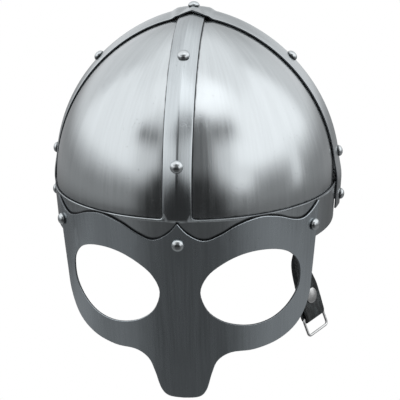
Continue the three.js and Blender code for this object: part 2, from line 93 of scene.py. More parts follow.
@dataclass(frozen=True)
class HelmetForm:
    """The helmet's own surfaces, in millimetres, with the sizes that the construction has."""

    sheet: float = 1.2
    gap: float = 0.3
    brow_height: float = 27.5
    brow_half_width: float = 101.5
    brow_half_length: float = 109.3
    side_taper: float = 0.03
    end_taper: float = 0.15
    dome_rise: float = 114.2
    plan_power: float = 1.7
    rise_power: float = 2.04
    face_radius: float = 104.0
    ridge_rise: float = 2.4
    band_ridge_rise: float = 3.0
    crest_half_width: float = 8.8
    band_half_width: float = 15.0
    band_tail: float = 20.4

    @property
    def dome_half_width(self) -> float:
        """Half width of the plates' outer face."""
        return self.brow_half_width - self.sheet - self.gap

    @property
    def dome_half_length(self) -> float:
        """Half length of the plates' outer face."""
        return self.brow_half_length - self.sheet - self.gap

    @property
    def laid_on(self) -> float:
        """Height of a sheet's outer face over the sheet that it lies on."""
        return self.sheet + self.gap

    def dome_point(self, x: float, y: float, lift: float) -> Vector:
        """Finds a point over the dome.

        Args:
            x: Place across the helmet.
            y: Place along the helmet.
            lift: Height over the plates' outer face.

        Returns:
            The point, in millimetres.
        """
        wide, long = self.dome_half_width, self.dome_half_length
        reach = min(math.hypot(x / wide, y / long), 1.0)
        rise = self.dome_rise * (1 - reach**self.plan_power) ** (1 / self.rise_power)
        normal = Vector((0.0, 0.0, 1.0))
        if reach > 1e-6:
            slope = self.plan_power * reach ** (self.plan_power - 2)
            lean = self.rise_power / self.dome_rise * (rise / self.dome_rise) ** (self.rise_power - 1)
            normal = Vector((slope * x / wide**2, slope * y / long**2, lean)).normalized()
        return Vector((x, y, self.brow_height + rise)) + normal * lift

    def dome_reach(self, angle: float) -> float:
        """Returns how far out the dome is, from 0 to 1, at degrees down from the apex."""
        return math.sin(math.radians(min(angle, 90.0))) ** (2 / self.plan_power)

    def wall_axes(self, z: float, lift: float) -> Point:
        """Returns the half width and half length of the upright wall at a height."""
        down = self.brow_height - z
        return (
            self.brow_half_width - self.side_taper * down + lift,
            self.brow_half_length - self.end_taper * down + lift,
        )

    def wall_point(self, along: float, z: float, lift: float) -> Vector:
        """Finds a point on the upright wall.

        Args:
            along: Length round the wall from the middle of the face, towards +X.
            z: Height over the rim.
            lift: Height over the brow band's outer face.

        Returns:
            The point, in millimetres.
        """
        half_width, half_length = self.wall_axes(z, lift)
        turn = along / self.face_radius
        return Vector((half_width * math.sin(turn), -half_length * math.cos(turn), z))

    def station_point(self, across: float, station: float, lift: float, over: Over) -> Vector:
        """Finds a point on a band that runs over the skull.

        Args:
            across: Place across the band.
            station: Degrees from the apex up to 90, then millimetres down the brow band.
            lift: Height over the plates' outer face.
            over: The way the band runs. A fore-and-aft band's stations run to the front.

        Returns:
            The point, in millimetres.
        """
        ear_to_ear = over is Over.EAR_TO_EAR
        axes = (self.dome_half_width, self.dome_half_length)
        z = None
        if station > 90:
            z = self.brow_height - (station - 90)
            axes = self.wall_axes(z, lift - self.laid_on)
        reach, spread = axes if ear_to_ear else axes[::-1]
        along = reach * self.dome_reach(station) * math.sqrt(1 - (across / spread) ** 2)
        x, y = (along, across) if ear_to_ear else (across, -along)
        return Vector((x, y, z)) if z is not None else self.dome_point(x, y, lift)


FORM = HelmetForm()


# ---- Mesh work ---------------------------------------------------------------------------------------


def spline(points: Sequence[Point], pieces: int, closed: bool = False) -> list[Point]:
    """Rounds a few points off into a smooth run.

    Args:
        points: The points that the run passes through.
        pieces: Steps between two points.
        closed: Whether the run comes back to its start.

    Returns:
        The run's points. A closed run doesn't repeat its first point.
    """
    count = len(points)

    def at(index: int) -> Vector:
        """Returns one of the points. An open run's ends stand for what is past them."""
        return Vector(points[index % count if closed else min(max(index, 0), count - 1)])

    run = []
    for index in range(count if closed else count - 1):
        before, start, end, after = (at(index + k) for k in (-1, 0, 1, 2))
        for part in range(pieces):
            t = part / pieces
            spot = 0.5 * (
                2 * start
                + (end - before) * t
                + (2 * before - 5 * start + 4 * end - after) * t**2
                + (3 * start - before - 3 * end + after) * t**3
            )
            run.append(tuple(spot))
    if not closed:
        run.append(tuple(points[-1]))
    return run


def whole(mesh: bmesh.types.BMesh) -> list[bmesh.types.BMVert | bmesh.types.BMEdge | bmesh.types.BMFace]:
    """Returns all that a mesh consists of."""
    return mesh.verts[:] + mesh.edges[:] + mesh.faces[:]


def lay_map(mesh: bmesh.types.BMesh, flat: Callable[[Vector], Point]) -> None:
    """Adds the UV map, which holds the flat place of each point."""
    uv = mesh.loops.layers.uv.new("blank")
    for face in mesh.faces:
        for loop in face.loops:
            u, v = flat(loop.vert.co)
            loop[uv].uv = (u * ON_MAP, v * ON_MAP)


def face_outwards(mesh: bmesh.types.BMesh, height: float) -> None:
    """Turns the faces away from the point at a height on the helmet's axis."""
    bmesh.ops.recalc_face_normals(mesh, faces=mesh.faces)
    middle = Vector((0, 0, height))
    if sum(face.normal.dot(face.calc_center_median() - middle) for face in mesh.faces) < 0:
        bmesh.ops.reverse_faces(mesh, faces=mesh.faces)


def spun(section: Iterable[Vector], angle: float, turns: int, closed: bool) -> bmesh.types.BMesh:
    """Turns a section round the Z axis.

    Args:
        section: The section's points, in the plane of X and Z.
        angle: How far it turns, in radians.
        turns: Facets along the turn.
        closed: Whether the turn comes back to its start.

    Returns:
        The mesh.
    """
    mesh = bmesh.new()
    corners = [mesh.verts.new(point) for point in section]
    edges = [mesh.edges.new(pair) for pair in zip(corners, corners[1:])]
    bmesh.ops.spin(
        mesh, geom=corners + edges, cent=(0, 0, 0), axis=(0, 0, 1), dvec=(0, 0, 0),
        angle=angle, steps=turns, use_merge=closed, use_duplicate=False,
    )
    bmesh.ops.remove_doubles(mesh, verts=mesh.verts, dist=WELD)
    return mesh


class SheetBlank:
    """A flat blank: an outline with holes, ruled by cut lines so that it bends smoothly."""

    def __init__(self, outline: Sequence[Point], holes: Iterable[Sequence[Point]] = ()) -> None:
        """Fills the outline.

        Args:
            outline: The outer edge.
            holes: The edges of the holes.
        """
        self.mesh = bmesh.new()
        edges = []
        for loop in (outline, *holes):
            corners = [self.mesh.verts.new((x, y, 0.0)) for x, y in loop]
            edges += [self.mesh.edges.new(pair) for pair in zip(corners, corners[1:] + corners[:1])]
        bmesh.ops.triangle_fill(self.mesh, use_beauty=True, use_dissolve=False, edges=edges)

    def rule(self, columns: Iterable[float], rows: Iterable[float]) -> "SheetBlank":
        """Cuts the blank along upright and level lines and dissolves what slants between them."""
        for normal, places in ((Vector((1, 0, 0)), columns), (Vector((0, 1, 0)), rows)):
            for place in places:
                bmesh.ops.bisect_plane(
                    self.mesh, geom=whole(self.mesh), dist=1e-5, plane_co=normal * place, plane_no=normal
                )
        slanting = []
        for edge in self.mesh.edges:
            run = edge.verts[0].co - edge.verts[1].co
            if len(edge.link_faces) == 2 and min(abs(run.x), abs(run.y)) > 1e-4:
                slanting.append(edge)
        bmesh.ops.dissolve_edges(self.mesh, edges=slanting, use_verts=False, use_face_split=False)
        return self

    @staticmethod
    def is_seam(edge: bmesh.types.BMEdge, seams: Iterable[tuple[int, float]]) -> bool:
        """Says whether an edge lies on a line where the blank is only joined to its mirror image."""
        return any(all(abs(vert.co[axis] - place) < 1e-4 for vert in edge.verts) for axis, place in seams)

    def clear_edge(self, reach: float, seams: Sequence[tuple[int, float]] = ((0, 0.0),)) -> "SheetBlank":
        """Keeps cut lines from crossing close to the edge, so that the edge can be rounded evenly.

        Args:
            reach: How near to the edge no crossing stays.
            seams: Lines that aren't edges of the finished sheet, as an axis (0 or 1) and a place on it.

        Returns:
            The blank.
        """
        rims = [edge for edge in self.mesh.edges if edge.is_boundary and not self.is_seam(edge, seams)]
        rim = list(dict.fromkeys(vert for edge in rims for vert in edge.verts))
        bmesh.ops.remove_doubles(self.mesh, verts=rim, dist=0.5 * reach)
        near = []
        for vert in self.mesh.verts:
            if vert.is_boundary:
                continue
            beside = [edge for face in vert.link_faces for edge in face.edges if edge.is_boundary]
            for edge in (edge for edge in beside if not self.is_seam(edge, seams)):
                start, run = edge.verts[0].co, edge.verts[1].co - edge.verts[0].co
                share = min(max((vert.co - start).dot(run) / run.length_squared, 0.0), 1.0)
                if (vert.co - start - run * share).length < reach:
                    near.append(vert)
                    break
        bmesh.ops.dissolve_verts(self.mesh, verts=near, use_face_split=False, use_boundary_tear=False)
        return self

    def bend(self, place: Place) -> "SheetBlank":
        """Moves every point to its place on the form, and keeps its flat place as the UV map."""
        lay_map(self.mesh, lambda spot: (spot.x, spot.y))
        for vert in self.mesh.verts:
            vert.co = place(vert.co.x, vert.co.y)
        return self

    def joined_behind(self, back: "SheetBlank", seam: float) -> "SheetBlank":
        """Adds another bent blank behind this one, turned from front to back.

        Args:
            back: The other blank.
            seam: Flat place across at which the two meet, where the UV map runs on.

        Returns:
            The blank.
        """
        bmesh.ops.scale(back.mesh, vec=Vector((1, -1, 1)), verts=back.mesh.verts)
        uv = back.mesh.loops.layers.uv["blank"]
        for face in back.mesh.faces:
            for loop in face.loops:
                loop[uv].uv.x = 2 * seam * ON_MAP - loop[uv].uv.x
        between = bpy.data.meshes.new("between")
        back.mesh.to_mesh(between)
        back.mesh.free()
        self.mesh.from_mesh(between)
        bpy.data.meshes.remove(between)
        return self

    def mirrored(self, *axes: str) -> "SheetBlank":
        """Adds the mirror image across each named axis and welds the seam."""
        for axis in axes:
            bmesh.ops.mirror(
                self.mesh, geom=whole(self.mesh), matrix=Matrix.Identity(4), merge_dist=WELD, axis=axis
            )
        bmesh.ops.remove_doubles(self.mesh, verts=self.mesh.verts, dist=WELD)
        return self

    def finish(self, name: str) -> bpy.types.Object:
        """Makes the object, with its faces pointing away from the head."""
        face_outwards(self.mesh, FORM.brow_height)
        return make_object(self.mesh, name)


def make_object(mesh: bmesh.types.BMesh, name: str) -> bpy.types.Object:
    """Writes a bmesh in millimetres to a new smooth object in metres.

    Args:
        mesh: The bmesh, which is freed.
        name: The object's name.

    Returns:
        The object, at the origin and unturned.
    """
    bmesh.ops.scale(mesh, vec=Vector((MM, MM, MM)), verts=mesh.verts)
    for face in mesh.faces:
        face.smooth = True
    data = bpy.data.meshes.new(name)
    mesh.to_mesh(data)
    mesh.free()
    made = bpy.data.objects.new(name, data)
    bpy.context.scene.collection.objects.link(made)
    return made


def add_thickness(piece: bpy.types.Object, thickness: float, edge: float, segments: int) -> None:
    """Gives a bent sheet its thickness, inwards, and rounds its edges.

    Args:
        piece: The sheet.
        thickness: In millimetres.
        edge: Radius of the rounded edge, in millimetres.
        segments: Facets across the rounded edge.
    """
    solid = piece.modifiers.new("thickness", "SOLIDIFY")
    solid.thickness = thickness * MM
    solid.offset = -1.0
    solid.use_even_offset = True
    # The rim faces take the second material: dark steel that paints shade on the cut edges.
    solid.material_offset_rim = 1
    bevel = piece.modifiers.new("edge", "BEVEL")
    bevel.width = edge * MM
    bevel.segments = segments
    bevel.limit_method = "ANGLE"
    bevel.angle_limit = math.radians(50)
    bevel.use_clamp_overlap = False


def stand_for(piece: bpy.types.Object, body: str, slot: str, *nodes: str) -> None:
    """Lets a piece ride on a body and stand for CAD nodes, and logs it."""
    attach(piece, body)
    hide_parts(*nodes)
    LOG.info("%s: %d faces, rides on %s", piece.name, len(piece.data.polygons), body)


# ---- Finishes ----------------------------------------------------------------------------------------


class Sketch:
    """A node tree being drawn: it adds nodes, links them and keeps them apart on the page."""

    def __init__(self, tree: bpy.types.NodeTree) -> None:
        """Starts on an empty tree."""
        self.tree = tree
        tree.nodes.clear()

    def fill(self, socket: bpy.types.NodeSocket, value: object) -> None:
        """Links a socket to another node's output, or gives it a value."""
        if isinstance(value, bpy.types.NodeSocket):
            self.tree.links.new(value, socket)
        else:
            socket.default_value = value

    def fill_all(self, node: bpy.types.Node, values: Inputs) -> None:
        """Fills several inputs of a node, by name or number."""
        for key, value in values.items():
            self.fill(node.inputs[key], value)

    def add(self, kind: str, inputs: Inputs | None = None, **settings: object) -> bpy.types.Node:
        """Adds a node.

        Args:
            kind: The node's type name.
            inputs: A value, or another node's output, for each input by name or number.
            settings: The node's own properties.

        Returns:
            The node.
        """
        node = self.tree.nodes.new(kind)
        node.location = (180 * len(self.tree.nodes), 0)
        for name, value in settings.items():
            setattr(node, name, value)
        self.fill_all(node, inputs or {})
        return node

    def use(self, group: bpy.types.NodeTree, inputs: Inputs) -> bpy.types.Node:
        """Adds a node group."""
        return self.add("ShaderNodeGroup", inputs, node_tree=group)

    def math(self, operation: str, *values: object) -> bpy.types.NodeSocket:
        """Adds a Math node on up to three values and returns its output."""
        return self.add("ShaderNodeMath", dict(enumerate(values)), operation=operation).outputs[0]

    def step(self, value: object, low: float, high: float) -> bpy.types.NodeSocket:
        """Adds a smooth Map Range from low to high, onto 0 to 1, and returns its output."""
        inputs = {"Value": value, "From Min": low, "From Max": high}
        made = self.add("ShaderNodeMapRange", inputs, interpolation_type="SMOOTHSTEP")
        return made.outputs["Result"]

    def noise(
        self, place: object, scale: float, detail: float = 3.0, rough: float = 0.55
    ) -> bpy.types.NodeSocket:
        """Adds a Noise Texture and returns its value."""
        inputs = {"Vector": place, "Scale": scale, "Detail": detail, "Roughness": rough}
        return self.add("ShaderNodeTexNoise", inputs).outputs[0]

    def stretch(self, place: object, factors: Sequence[float]) -> bpy.types.NodeSocket:
        """Scales a place along its axes and returns it."""
        return self.add("ShaderNodeVectorMath", {0: place, 1: factors}, operation="MULTIPLY").outputs[0]

    def mix(self, share: object, first: object, second: object, blend: str = "MIX") -> bpy.types.NodeSocket:
        """Adds a colour Mix node and returns its colour."""
        node = self.add("ShaderNodeMix", data_type="RGBA", blend_type=blend)
        self.fill_all(node, {0: share, 6: first, 7: second})
        return node.outputs[2]

    def shift(self, start: object, *parts: tuple[object, float]) -> object:
        """Adds values times their weights to a start."""
        for value, weight in parts:
            start = self.math("MULTIPLY_ADD", value, weight, start)
        return start


def new_group(
    name: str, inputs: dict[str, tuple[str, float | None]], outputs: Iterable[str]
) -> tuple[Sketch, bpy.types.Node, bpy.types.Node]:
    """Starts a shader node group.

    Args:
        name: The group's name.
        inputs: The kind of socket and its starting value, by name.
        outputs: The names of its outputs, which are all values.

    Returns:
        The sketch to draw in, the group's input node and its output node.
    """
    tree = bpy.data.node_groups.new(name, "ShaderNodeTree")
    for label, (kind, start) in inputs.items():
        socket = tree.interface.new_socket(name=label, in_out="INPUT", socket_type=kind)
        if start is not None:
            socket.default_value = start
    for label in outputs:
        tree.interface.new_socket(name=label, in_out="OUTPUT", socket_type="NodeSocketFloat")
    sketch = Sketch(tree)
    return sketch, sketch.add("NodeGroupInput"), sketch.add("NodeGroupOutput")


VALUE = "NodeSocketFloat"
VECTOR = "NodeSocketVector"


class Effects:
    """The surface effects that the finishes share, each a node group that is built once."""

    def __init__(self) -> None:
        """Builds the groups."""
        self.brushing = self._brushing()
        self.battering = self._battering()
        self.seams = self._band_shadow_lines()
        self.grain = self._grain()

    def _brushing(self) -> bpy.types.NodeTree:
        """Streaks of an abrasive drawn along V, as a fine and a coarse share."""
        sketch, given, out = new_group(
            "brushing", {"Place": (VECTOR, None), "Fineness": (VALUE, 55.0)}, ("Streaks", "Bands")
        )
        inputs = {0: given.outputs["Place"], "Scale": given.outputs["Fineness"]}
        scaled = sketch.add("ShaderNodeVectorMath", inputs, operation="SCALE").outputs[0]
        fine = sketch.noise(sketch.stretch(scaled, (1.0, 0.035, 1.0)), 1.0, 4.0, 0.7)
        wide = sketch.noise(sketch.stretch(scaled, (0.22, 0.02, 0.22)), 1.0, 2.0, 0.5)
        sketch.fill_all(out, {"Streaks": sketch.step(fine, 0.3, 0.7), "Bands": sketch.step(wide, 0.3, 0.7)})
        return sketch.tree

    def _battering(self) -> bpy.types.NodeTree:
        """Marks of use: small pits, a few long scratches, cloudy tarnish and the hammer's low swells."""
        sketch, given, out = new_group(
            "battering",
            {"Place": (VECTOR, None), "Pit size": (VALUE, 420.0), "Cover": (VALUE, 0.5)},
            ("Pits", "Scratches", "Tarnish", "Swell"),
        )
        place = given.outputs["Place"]
        inputs = {"Vector": place, "Scale": given.outputs["Pit size"]}
        cells = sketch.add("ShaderNodeTexVoronoi", inputs, feature="F1").outputs["Distance"]
        chosen = sketch.step(sketch.noise(place, 95.0, 2.0), 0.58, 0.68)
        pits = sketch.math("MULTIPLY", sketch.step(cells, 0.2, 0.08), chosen)
        turned = sketch.add("ShaderNodeMapping", {"Vector": place, "Rotation": (0.5, 0.35, 0.6)}).outputs[0]
        lines = sketch.noise(sketch.stretch(turned, (380.0, 16.0, 380.0)), 1.0, 1.0)
        thin = sketch.step(sketch.math("ABSOLUTE", sketch.math("SUBTRACT", lines, 0.52)), 0.012, 0.0)
        scratches = sketch.math("MULTIPLY", thin, sketch.step(sketch.noise(place, 40.0, 1.0), 0.52, 0.66))
        clouds = sketch.noise(place, 34.0, 5.0, 0.62)
        low = sketch.math("SUBTRACT", 0.78, sketch.math("MULTIPLY", given.outputs["Cover"], 0.4))
        tarnish = sketch.step(sketch.math("SUBTRACT", clouds, low), 0.0, 0.22)
        swell = sketch.noise(place, 30.0, 1.0, 0.4)
        sketch.fill_all(out, {"Pits": pits, "Scratches": scratches, "Tarnish": tarnish, "Swell": swell})
        return sketch.tree

    def _band_shadow_lines(self) -> bpy.types.NodeTree:
        """Painted shadow: a dark line in the corner beside a band that is riveted over a sheet, one output
        for each band.
        """
        names = ("Beside crest", "Beside ear band", "Above brow")
        sketch, given, out = new_group("seams", {"Place": (VECTOR, None), "Reach": (VALUE, 0.0015)}, names)
        axes = sketch.add("ShaderNodeSeparateXYZ", {0: given.outputs["Place"]}).outputs
        uneven = sketch.math("MULTIPLY_ADD", sketch.noise(given.outputs["Place"], 160.0, 3.0), 0.7, -0.35)
        edges = (
            (sketch.math("ABSOLUTE", axes["X"]), (FORM.crest_half_width - 0.4) * MM),
            (sketch.math("ABSOLUTE", axes["Y"]), (FORM.band_half_width - 1.2) * MM),
            (axes["Z"], (FORM.brow_height - 0.4) * MM),
        )
        for name, (along, edge) in zip(names, edges):
            away = sketch.math("DIVIDE", sketch.math("SUBTRACT", along, edge), given.outputs["Reach"])
            mask = sketch.step(sketch.math("ADD", away, uneven), 1.0, 0.3)
            if name == "Beside ear band":
                foot = (FORM.brow_height - FORM.band_tail) * MM
                mask = sketch.math("MULTIPLY", mask, sketch.step(axes["Z"], foot - 1.5 * MM, foot - 0.5 * MM))
            sketch.fill_all(out, {name: mask})
        return sketch.tree

    def _grain(self) -> bpy.types.NodeTree:
        """Leather: pebbled grain, pores and worn patches."""
        sketch, given, out = new_group(
            "grain", {"Place": (VECTOR, None), "Fineness": (VALUE, 1400.0)}, ("Pebbles", "Pores", "Worn")
        )
        place = given.outputs["Place"]
        warp = sketch.noise(place, 300.0, 2.0)
        push = sketch.math("MULTIPLY", warp, 0.0006)
        bent = sketch.add("ShaderNodeVectorMath", {0: place, 1: push}, operation="ADD").outputs[0]
        inputs = {"Vector": bent, "Scale": given.outputs["Fineness"]}
        pebbles = sketch.add("ShaderNodeTexVoronoi", inputs, feature="DISTANCE_TO_EDGE").outputs["Distance"]
        coarse = sketch.math("MULTIPLY", given.outputs["Fineness"], 0.6)
        pores = sketch.add("ShaderNodeTexVoronoi", {"Vector": place, "Scale": coarse}).outputs["Distance"]
        sketch.fill_all(out, {
            "Pebbles": sketch.step(pebbles, 0.0, 0.16),
            "Pores": sketch.step(pores, 0.16, 0.05),
            "Worn": sketch.step(sketch.noise(place, 130.0, 4.0), 0.5, 0.72),
        })
        return sketch.tree


def opaque(colour: Colour, strength: float = 1.0) -> tuple[float, float, float, float]:
    """Returns a colour made stronger, but no channel over 1, with its alpha."""
    return (*(min(channel * strength, 1.0) for channel in colour), 1.0)


# Dark colour of real pits, also used for painted shade.
PITS_AND_SHADE_COLOUR = (0.02, 0.021, 0.022, 1.0)


class Direction(Enum):
    """The place that a finish's brushing is drawn on."""

    ALONG_SHEET = "blank"
    TURNED = "object"


@dataclass(frozen=True)
class SteelFinish:
    """Bare steel, brushed and worn, with painted shade in its hollows, round a rivet's foot and beside the
    sheets over it, and its sharp edges lighter, partly rubbed and partly a painted highlight.
    """

    name: str
    colour: Colour
    tarnish: Colour
    roughness: float
    fineness: float = 55.0
    cover: float = 0.5
    streak: float = 0.10
    relief: float = 0.25
    direction: Direction = Direction.ALONG_SHEET
    # The next two fields give painted shadow lines: beside the bands, and above the upper edge of the sheet
    # that lies over this one.
    seams: tuple[str, ...] = ()
    shadow_edge: Sequence[Point] = ()
    foot_shade: float = 0.0

    def beside(
        self, sketch: Sketch, effects: Effects, place: object, flat: object
    ) -> list[bpy.types.NodeSocket]:
        """Draws the painted shadow lines in the corners beside the sheets that lie over this one.

        Args:
            sketch: The material's sketch.
            effects: The shared node groups.
            place: The point in space.
            flat: The point on the blank.

        Returns:
            One mask for each corner.
        """
        masks = []
        if self.seams:
            group = sketch.use(effects.seams, {"Place": place})
            masks += [group.outputs[name] for name in self.seams]
        if self.shadow_edge:
            axes = sketch.add("ShaderNodeSeparateXYZ", {0: flat}).outputs
            edge = sketch.add("ShaderNodeFloatCurve", {"Value": axes["X"]})
            curve = edge.mapping.curves[0]
            far, top = self.shadow_edge[-1][0] * ON_MAP, 0.4
            for u, z in self.shadow_edge[1:-1]:
                curve.points.new(u * ON_MAP, z * ON_MAP)
            curve.points[0].location = (0.0, self.shadow_edge[0][1] * ON_MAP)
            curve.points[-1].location = (far, self.shadow_edge[-1][1] * ON_MAP)
            edge.mapping.clip_max_x, edge.mapping.clip_max_y = far, top
            edge.mapping.update()
            away = sketch.math("SUBTRACT", axes["Y"], edge.outputs[0])
            near = sketch.step(away, 0.021, 0.006)
            front = sketch.step(axes["X"], far, far - 0.01)
            masks.append(sketch.math("MULTIPLY", near, front))
        return masks

    def make(self, effects: Effects) -> bpy.types.Material:
        """Builds the material.

        Args:
            effects: The shared node groups.

        Returns:
            The material.
        """
        made = bpy.data.materials.new(self.name)
        made.use_nodes = True
        sketch = Sketch(made.node_tree)
        place = sketch.add("ShaderNodeTexCoord").outputs["Object"]
        flat = place
        if self.direction is Direction.ALONG_SHEET:
            flat = sketch.add("ShaderNodeUVMap", uv_map=self.direction.value).outputs[0]
        else:
            flat = sketch.stretch(place, (10.0, 10.0, 10.0))
        brush = sketch.use(effects.brushing, {"Place": flat, "Fineness": self.fineness}).outputs
        wear = sketch.use(effects.battering, {"Place": place, "Cover": self.cover}).outputs
        sharp = sketch.add("ShaderNodeNewGeometry").outputs["Pointiness"]
        # Sharp edges, lightened below: partly rubbed metal, partly a painted highlight.
        rubbed_and_highlit_edge = sketch.step(sharp, 0.52, 0.59)
        # Hollows, darkened below as painted shade.
        hollow_shade = sketch.step(sharp, 0.49, 0.42)

        rubbed_and_highlit_colour = opaque(self.colour, 1.22)
        colour = sketch.mix(brush["Bands"], opaque(self.colour, 0.96), opaque(self.colour))
        shade = sketch.math("MULTIPLY_ADD", brush["Streaks"], self.streak, 1.0 - 0.6 * self.streak)
        grey = sketch.add("ShaderNodeCombineXYZ", {0: shade, 1: shade, 2: shade}).outputs[0]
        colour = sketch.mix(1.0, colour, grey, "MULTIPLY")
        colour = sketch.mix(sketch.math("MULTIPLY", wear["Tarnish"], 0.3), colour, opaque(self.tarnish))
        # Real pits, and painted shade in the hollows that Pointiness finds.
        pits_and_shade = sketch.math("MAXIMUM", sketch.math("MULTIPLY", wear["Pits"], 0.25), hollow_shade)
        # Painted shade round a rivet's foot: darker below the given height.
        if self.foot_shade:
            turned = sketch.add("ShaderNodeUVMap", uv_map="blank").outputs[0]
            height = sketch.add("ShaderNodeSeparateXYZ", {0: turned}).outputs["Y"]
            foot = sketch.step(height, self.foot_shade * ON_MAP, 0.5 * self.foot_shade * ON_MAP)
            pits_and_shade = sketch.math("MAXIMUM", pits_and_shade, sketch.math("MULTIPLY", foot, 0.9))
        # Painted shadow lines beside the sheets that lie over this one.
        for mask in self.beside(sketch, effects, place, flat):
            pits_and_shade = sketch.math("MAXIMUM", pits_and_shade, sketch.math("MULTIPLY", mask, 0.95))
        # Real pits and painted shade darken towards one dark colour.
        colour = sketch.mix(pits_and_shade, colour, PITS_AND_SHADE_COLOUR)
        # Sharp edges made lighter: partly rubbed metal, partly a painted highlight.
        colour = sketch.mix(sketch.math("MULTIPLY", rubbed_and_highlit_edge, 0.7), colour, rubbed_and_highlit_colour)

        rough = sketch.shift(
            self.roughness - 0.025, (brush["Streaks"], 0.05), (brush["Bands"], 0.05),
            (wear["Tarnish"], 0.10), (pits_and_shade, 0.25), (wear["Scratches"], 0.05),
        )
        height = sketch.shift(
            0.0, (brush["Streaks"], 0.05), (wear["Pits"], -0.35), (wear["Scratches"], -0.04),
            (wear["Swell"], 1.6),
        )
        relief = {"Height": height, "Strength": self.relief, "Distance": 0.0006}
        shader = sketch.add("ShaderNodeBsdfPrincipled", {
            "Base Color": colour,
            "Roughness": rough,
            "Normal": sketch.add("ShaderNodeBump", relief).outputs["Normal"],
            "Metallic": 1.0,
        })
        sketch.add("ShaderNodeOutputMaterial", {"Surface": shader.outputs[0]})
        return made


@dataclass(frozen=True)
class LeatherFinish:
    """Dark harness leather with a pebbled grain, rubbed edges and painted shade in its creases."""

    name: str
    colour: Colour
    rubbed: Colour
    roughness: float = 0.5

    def make(self, effects: Effects) -> bpy.types.Material:
        """Builds the material.

        Args:
            effects: The shared node groups.

        Returns:
            The material.
        """
        made = bpy.data.materials.new(self.name)
        made.use_nodes = True
        sketch = Sketch(made.node_tree)
        place = sketch.add("ShaderNodeTexCoord").outputs["Object"]
        grain = sketch.use(effects.grain, {"Place": place}).outputs
        edge = sketch.step(sketch.add("ShaderNodeNewGeometry").outputs["Pointiness"], 0.51, 0.58)
        creases = sketch.noise(sketch.stretch(place, (1.0, 1.0, 0.35)), 260.0, 2.0)
        # Painted shade: the low places of the crease relief are darkened.
        fold = sketch.step(creases, 0.56, 0.42)
        colour = sketch.mix(grain["Worn"], opaque(self.colour), opaque(self.colour, 1.8))
        colour = sketch.mix(sketch.math("MULTIPLY", fold, 0.75), colour, (0.004, 0.005, 0.005, 1.0))
        colour = sketch.mix(sketch.math("MULTIPLY", grain["Pores"], 0.6), colour, (0.004, 0.004, 0.004, 1.0))
        colour = sketch.mix(sketch.math("MULTIPLY", edge, 0.6), colour, opaque(self.rubbed))
        rough = sketch.shift(self.roughness, (grain["Worn"], -0.14), (grain["Pores"], 0.15))
        height = sketch.shift(0.0, (grain["Pebbles"], 0.6), (grain["Pores"], -0.5), (creases, 9.0))
        relief = {"Height": height, "Strength": 0.6, "Distance": 0.0002}
        shader = sketch.add("ShaderNodeBsdfPrincipled", {
            "Base Color": colour,
            "Roughness": rough,
            "Normal": sketch.add("ShaderNodeBump", relief).outputs["Normal"],
        })
        sketch.add("ShaderNodeOutputMaterial", {"Surface": shader.outputs[0]})
        return made


MASK_UPPER_EDGE = (
    (0, 25.2), (6.3, 18.1), (15.9, 13.5), (25.5, 16.3), (38, 22.8), (52.5, 26.4), (66, 24.5),
    (79, 19.9), (88.3, 18.5), (97, 21.5), (105.3, 27),
)
EYE_OPENING = (
    (13.4, -23), (18, -11.5), (27, -3.8), (38.5, 1.6), (51, 3.5), (65, 2), (77, -3), (85.6, -12),
    (88, -22), (86.3, -31), (80, -39), (71, -45.3), (61, -49), (49, -50.2), (37, -48.3),
    (26.5, -44), (17.7, -36),
)
# The plates get painted shadow lines beside the bands; the frame gets them beside the ear band and above the
# mask's upper edge.
PLATE_STEEL = SteelFinish(
    "plate_steel", (0.61, 0.64, 0.65), (0.36, 0.38, 0.40), 0.15, streak=0.05, relief=0.2,
    seams=("Beside crest", "Beside ear band", "Above brow"),
)
FRAME_STEEL = SteelFinish(
    "frame_steel", (0.56, 0.595, 0.61), (0.33, 0.35, 0.37), 0.18, fineness=70.0, streak=0.08,
    seams=("Beside ear band",), shadow_edge=MASK_UPPER_EDGE,
)
BAND_STEEL = SteelFinish(
    "band_steel", (0.60, 0.63, 0.64), (0.33, 0.35, 0.37), 0.18, fineness=70.0, streak=0.08
)
MASK_STEEL = SteelFinish(
    "mask_steel", (0.55, 0.60, 0.63), (0.30, 0.32, 0.34), 0.22, fineness=60.0, streak=0.09
)
# Rivets get painted shade round their foot.
RIVET_STEEL = SteelFinish(
    "rivet_steel", (0.62, 0.65, 0.66), (0.34, 0.36, 0.38), 0.16, fineness=40.0, direction=Direction.TURNED,
    foot_shade=1.0,
)
# Dark steel for the sheets' cut edges: painted shade.
CUT_EDGE_SHADE_STEEL = SteelFinish(
    "cut_edge_painted_shade", (0.16, 0.17, 0.18), (0.07, 0.075, 0.08), 0.42, fineness=40.0, direction=Direction.TURNED
)
PLATED_WIRE = SteelFinish(
    "plated_wire", (0.72, 0.72, 0.71), (0.40, 0.39, 0.37), 0.16, fineness=60.0, direction=Direction.TURNED
)
STRAP_LEATHER = LeatherFinish("strap_leather", (0.036, 0.044, 0.045), (0.10, 0.105, 0.10), 0.36)


# ---- Sub-assemblies ----------------------------------------------------------------------------------


def dress(piece: bpy.types.Object, *materials: bpy.types.Material) -> None:
    """Gives a piece its material, and a sheet the dark steel of its cut edges too, which paints shade there.
    """
    for material in materials:
        piece.data.materials.append(material)


def even_out(piece: bpy.types.Object) -> None:
    """Lets the broad faces carry the shading, so that a rounded edge doesn't shade the sheet beside it."""
    weighted = piece.modifiers.new("shading", "WEIGHTED_NORMAL")
    weighted.keep_sharp = False


def finish_sheet(
    piece: bpy.types.Object, steels: Sequence[bpy.types.Material], slot: str, node: str, edge: float,
    segments: int,
) -> None:
    """Gives a bent sheet its thickness, its shading, its steel and the CAD node that it stands for.

    Args:
        piece: The sheet.
        steels: The steel of its faces and the dark steel of its cut edges, which paints shade there.
        slot: The slot of its material. Not used.
        node: The CAD node.
        edge: Radius of the rounded edge, in millimetres.
        segments: Facets across the rounded edge.
    """
    add_thickness(piece, FORM.sheet, edge, segments)
    even_out(piece)
    dress(piece, *steels)
    stand_for(piece, HELMET_BODY, slot, node)


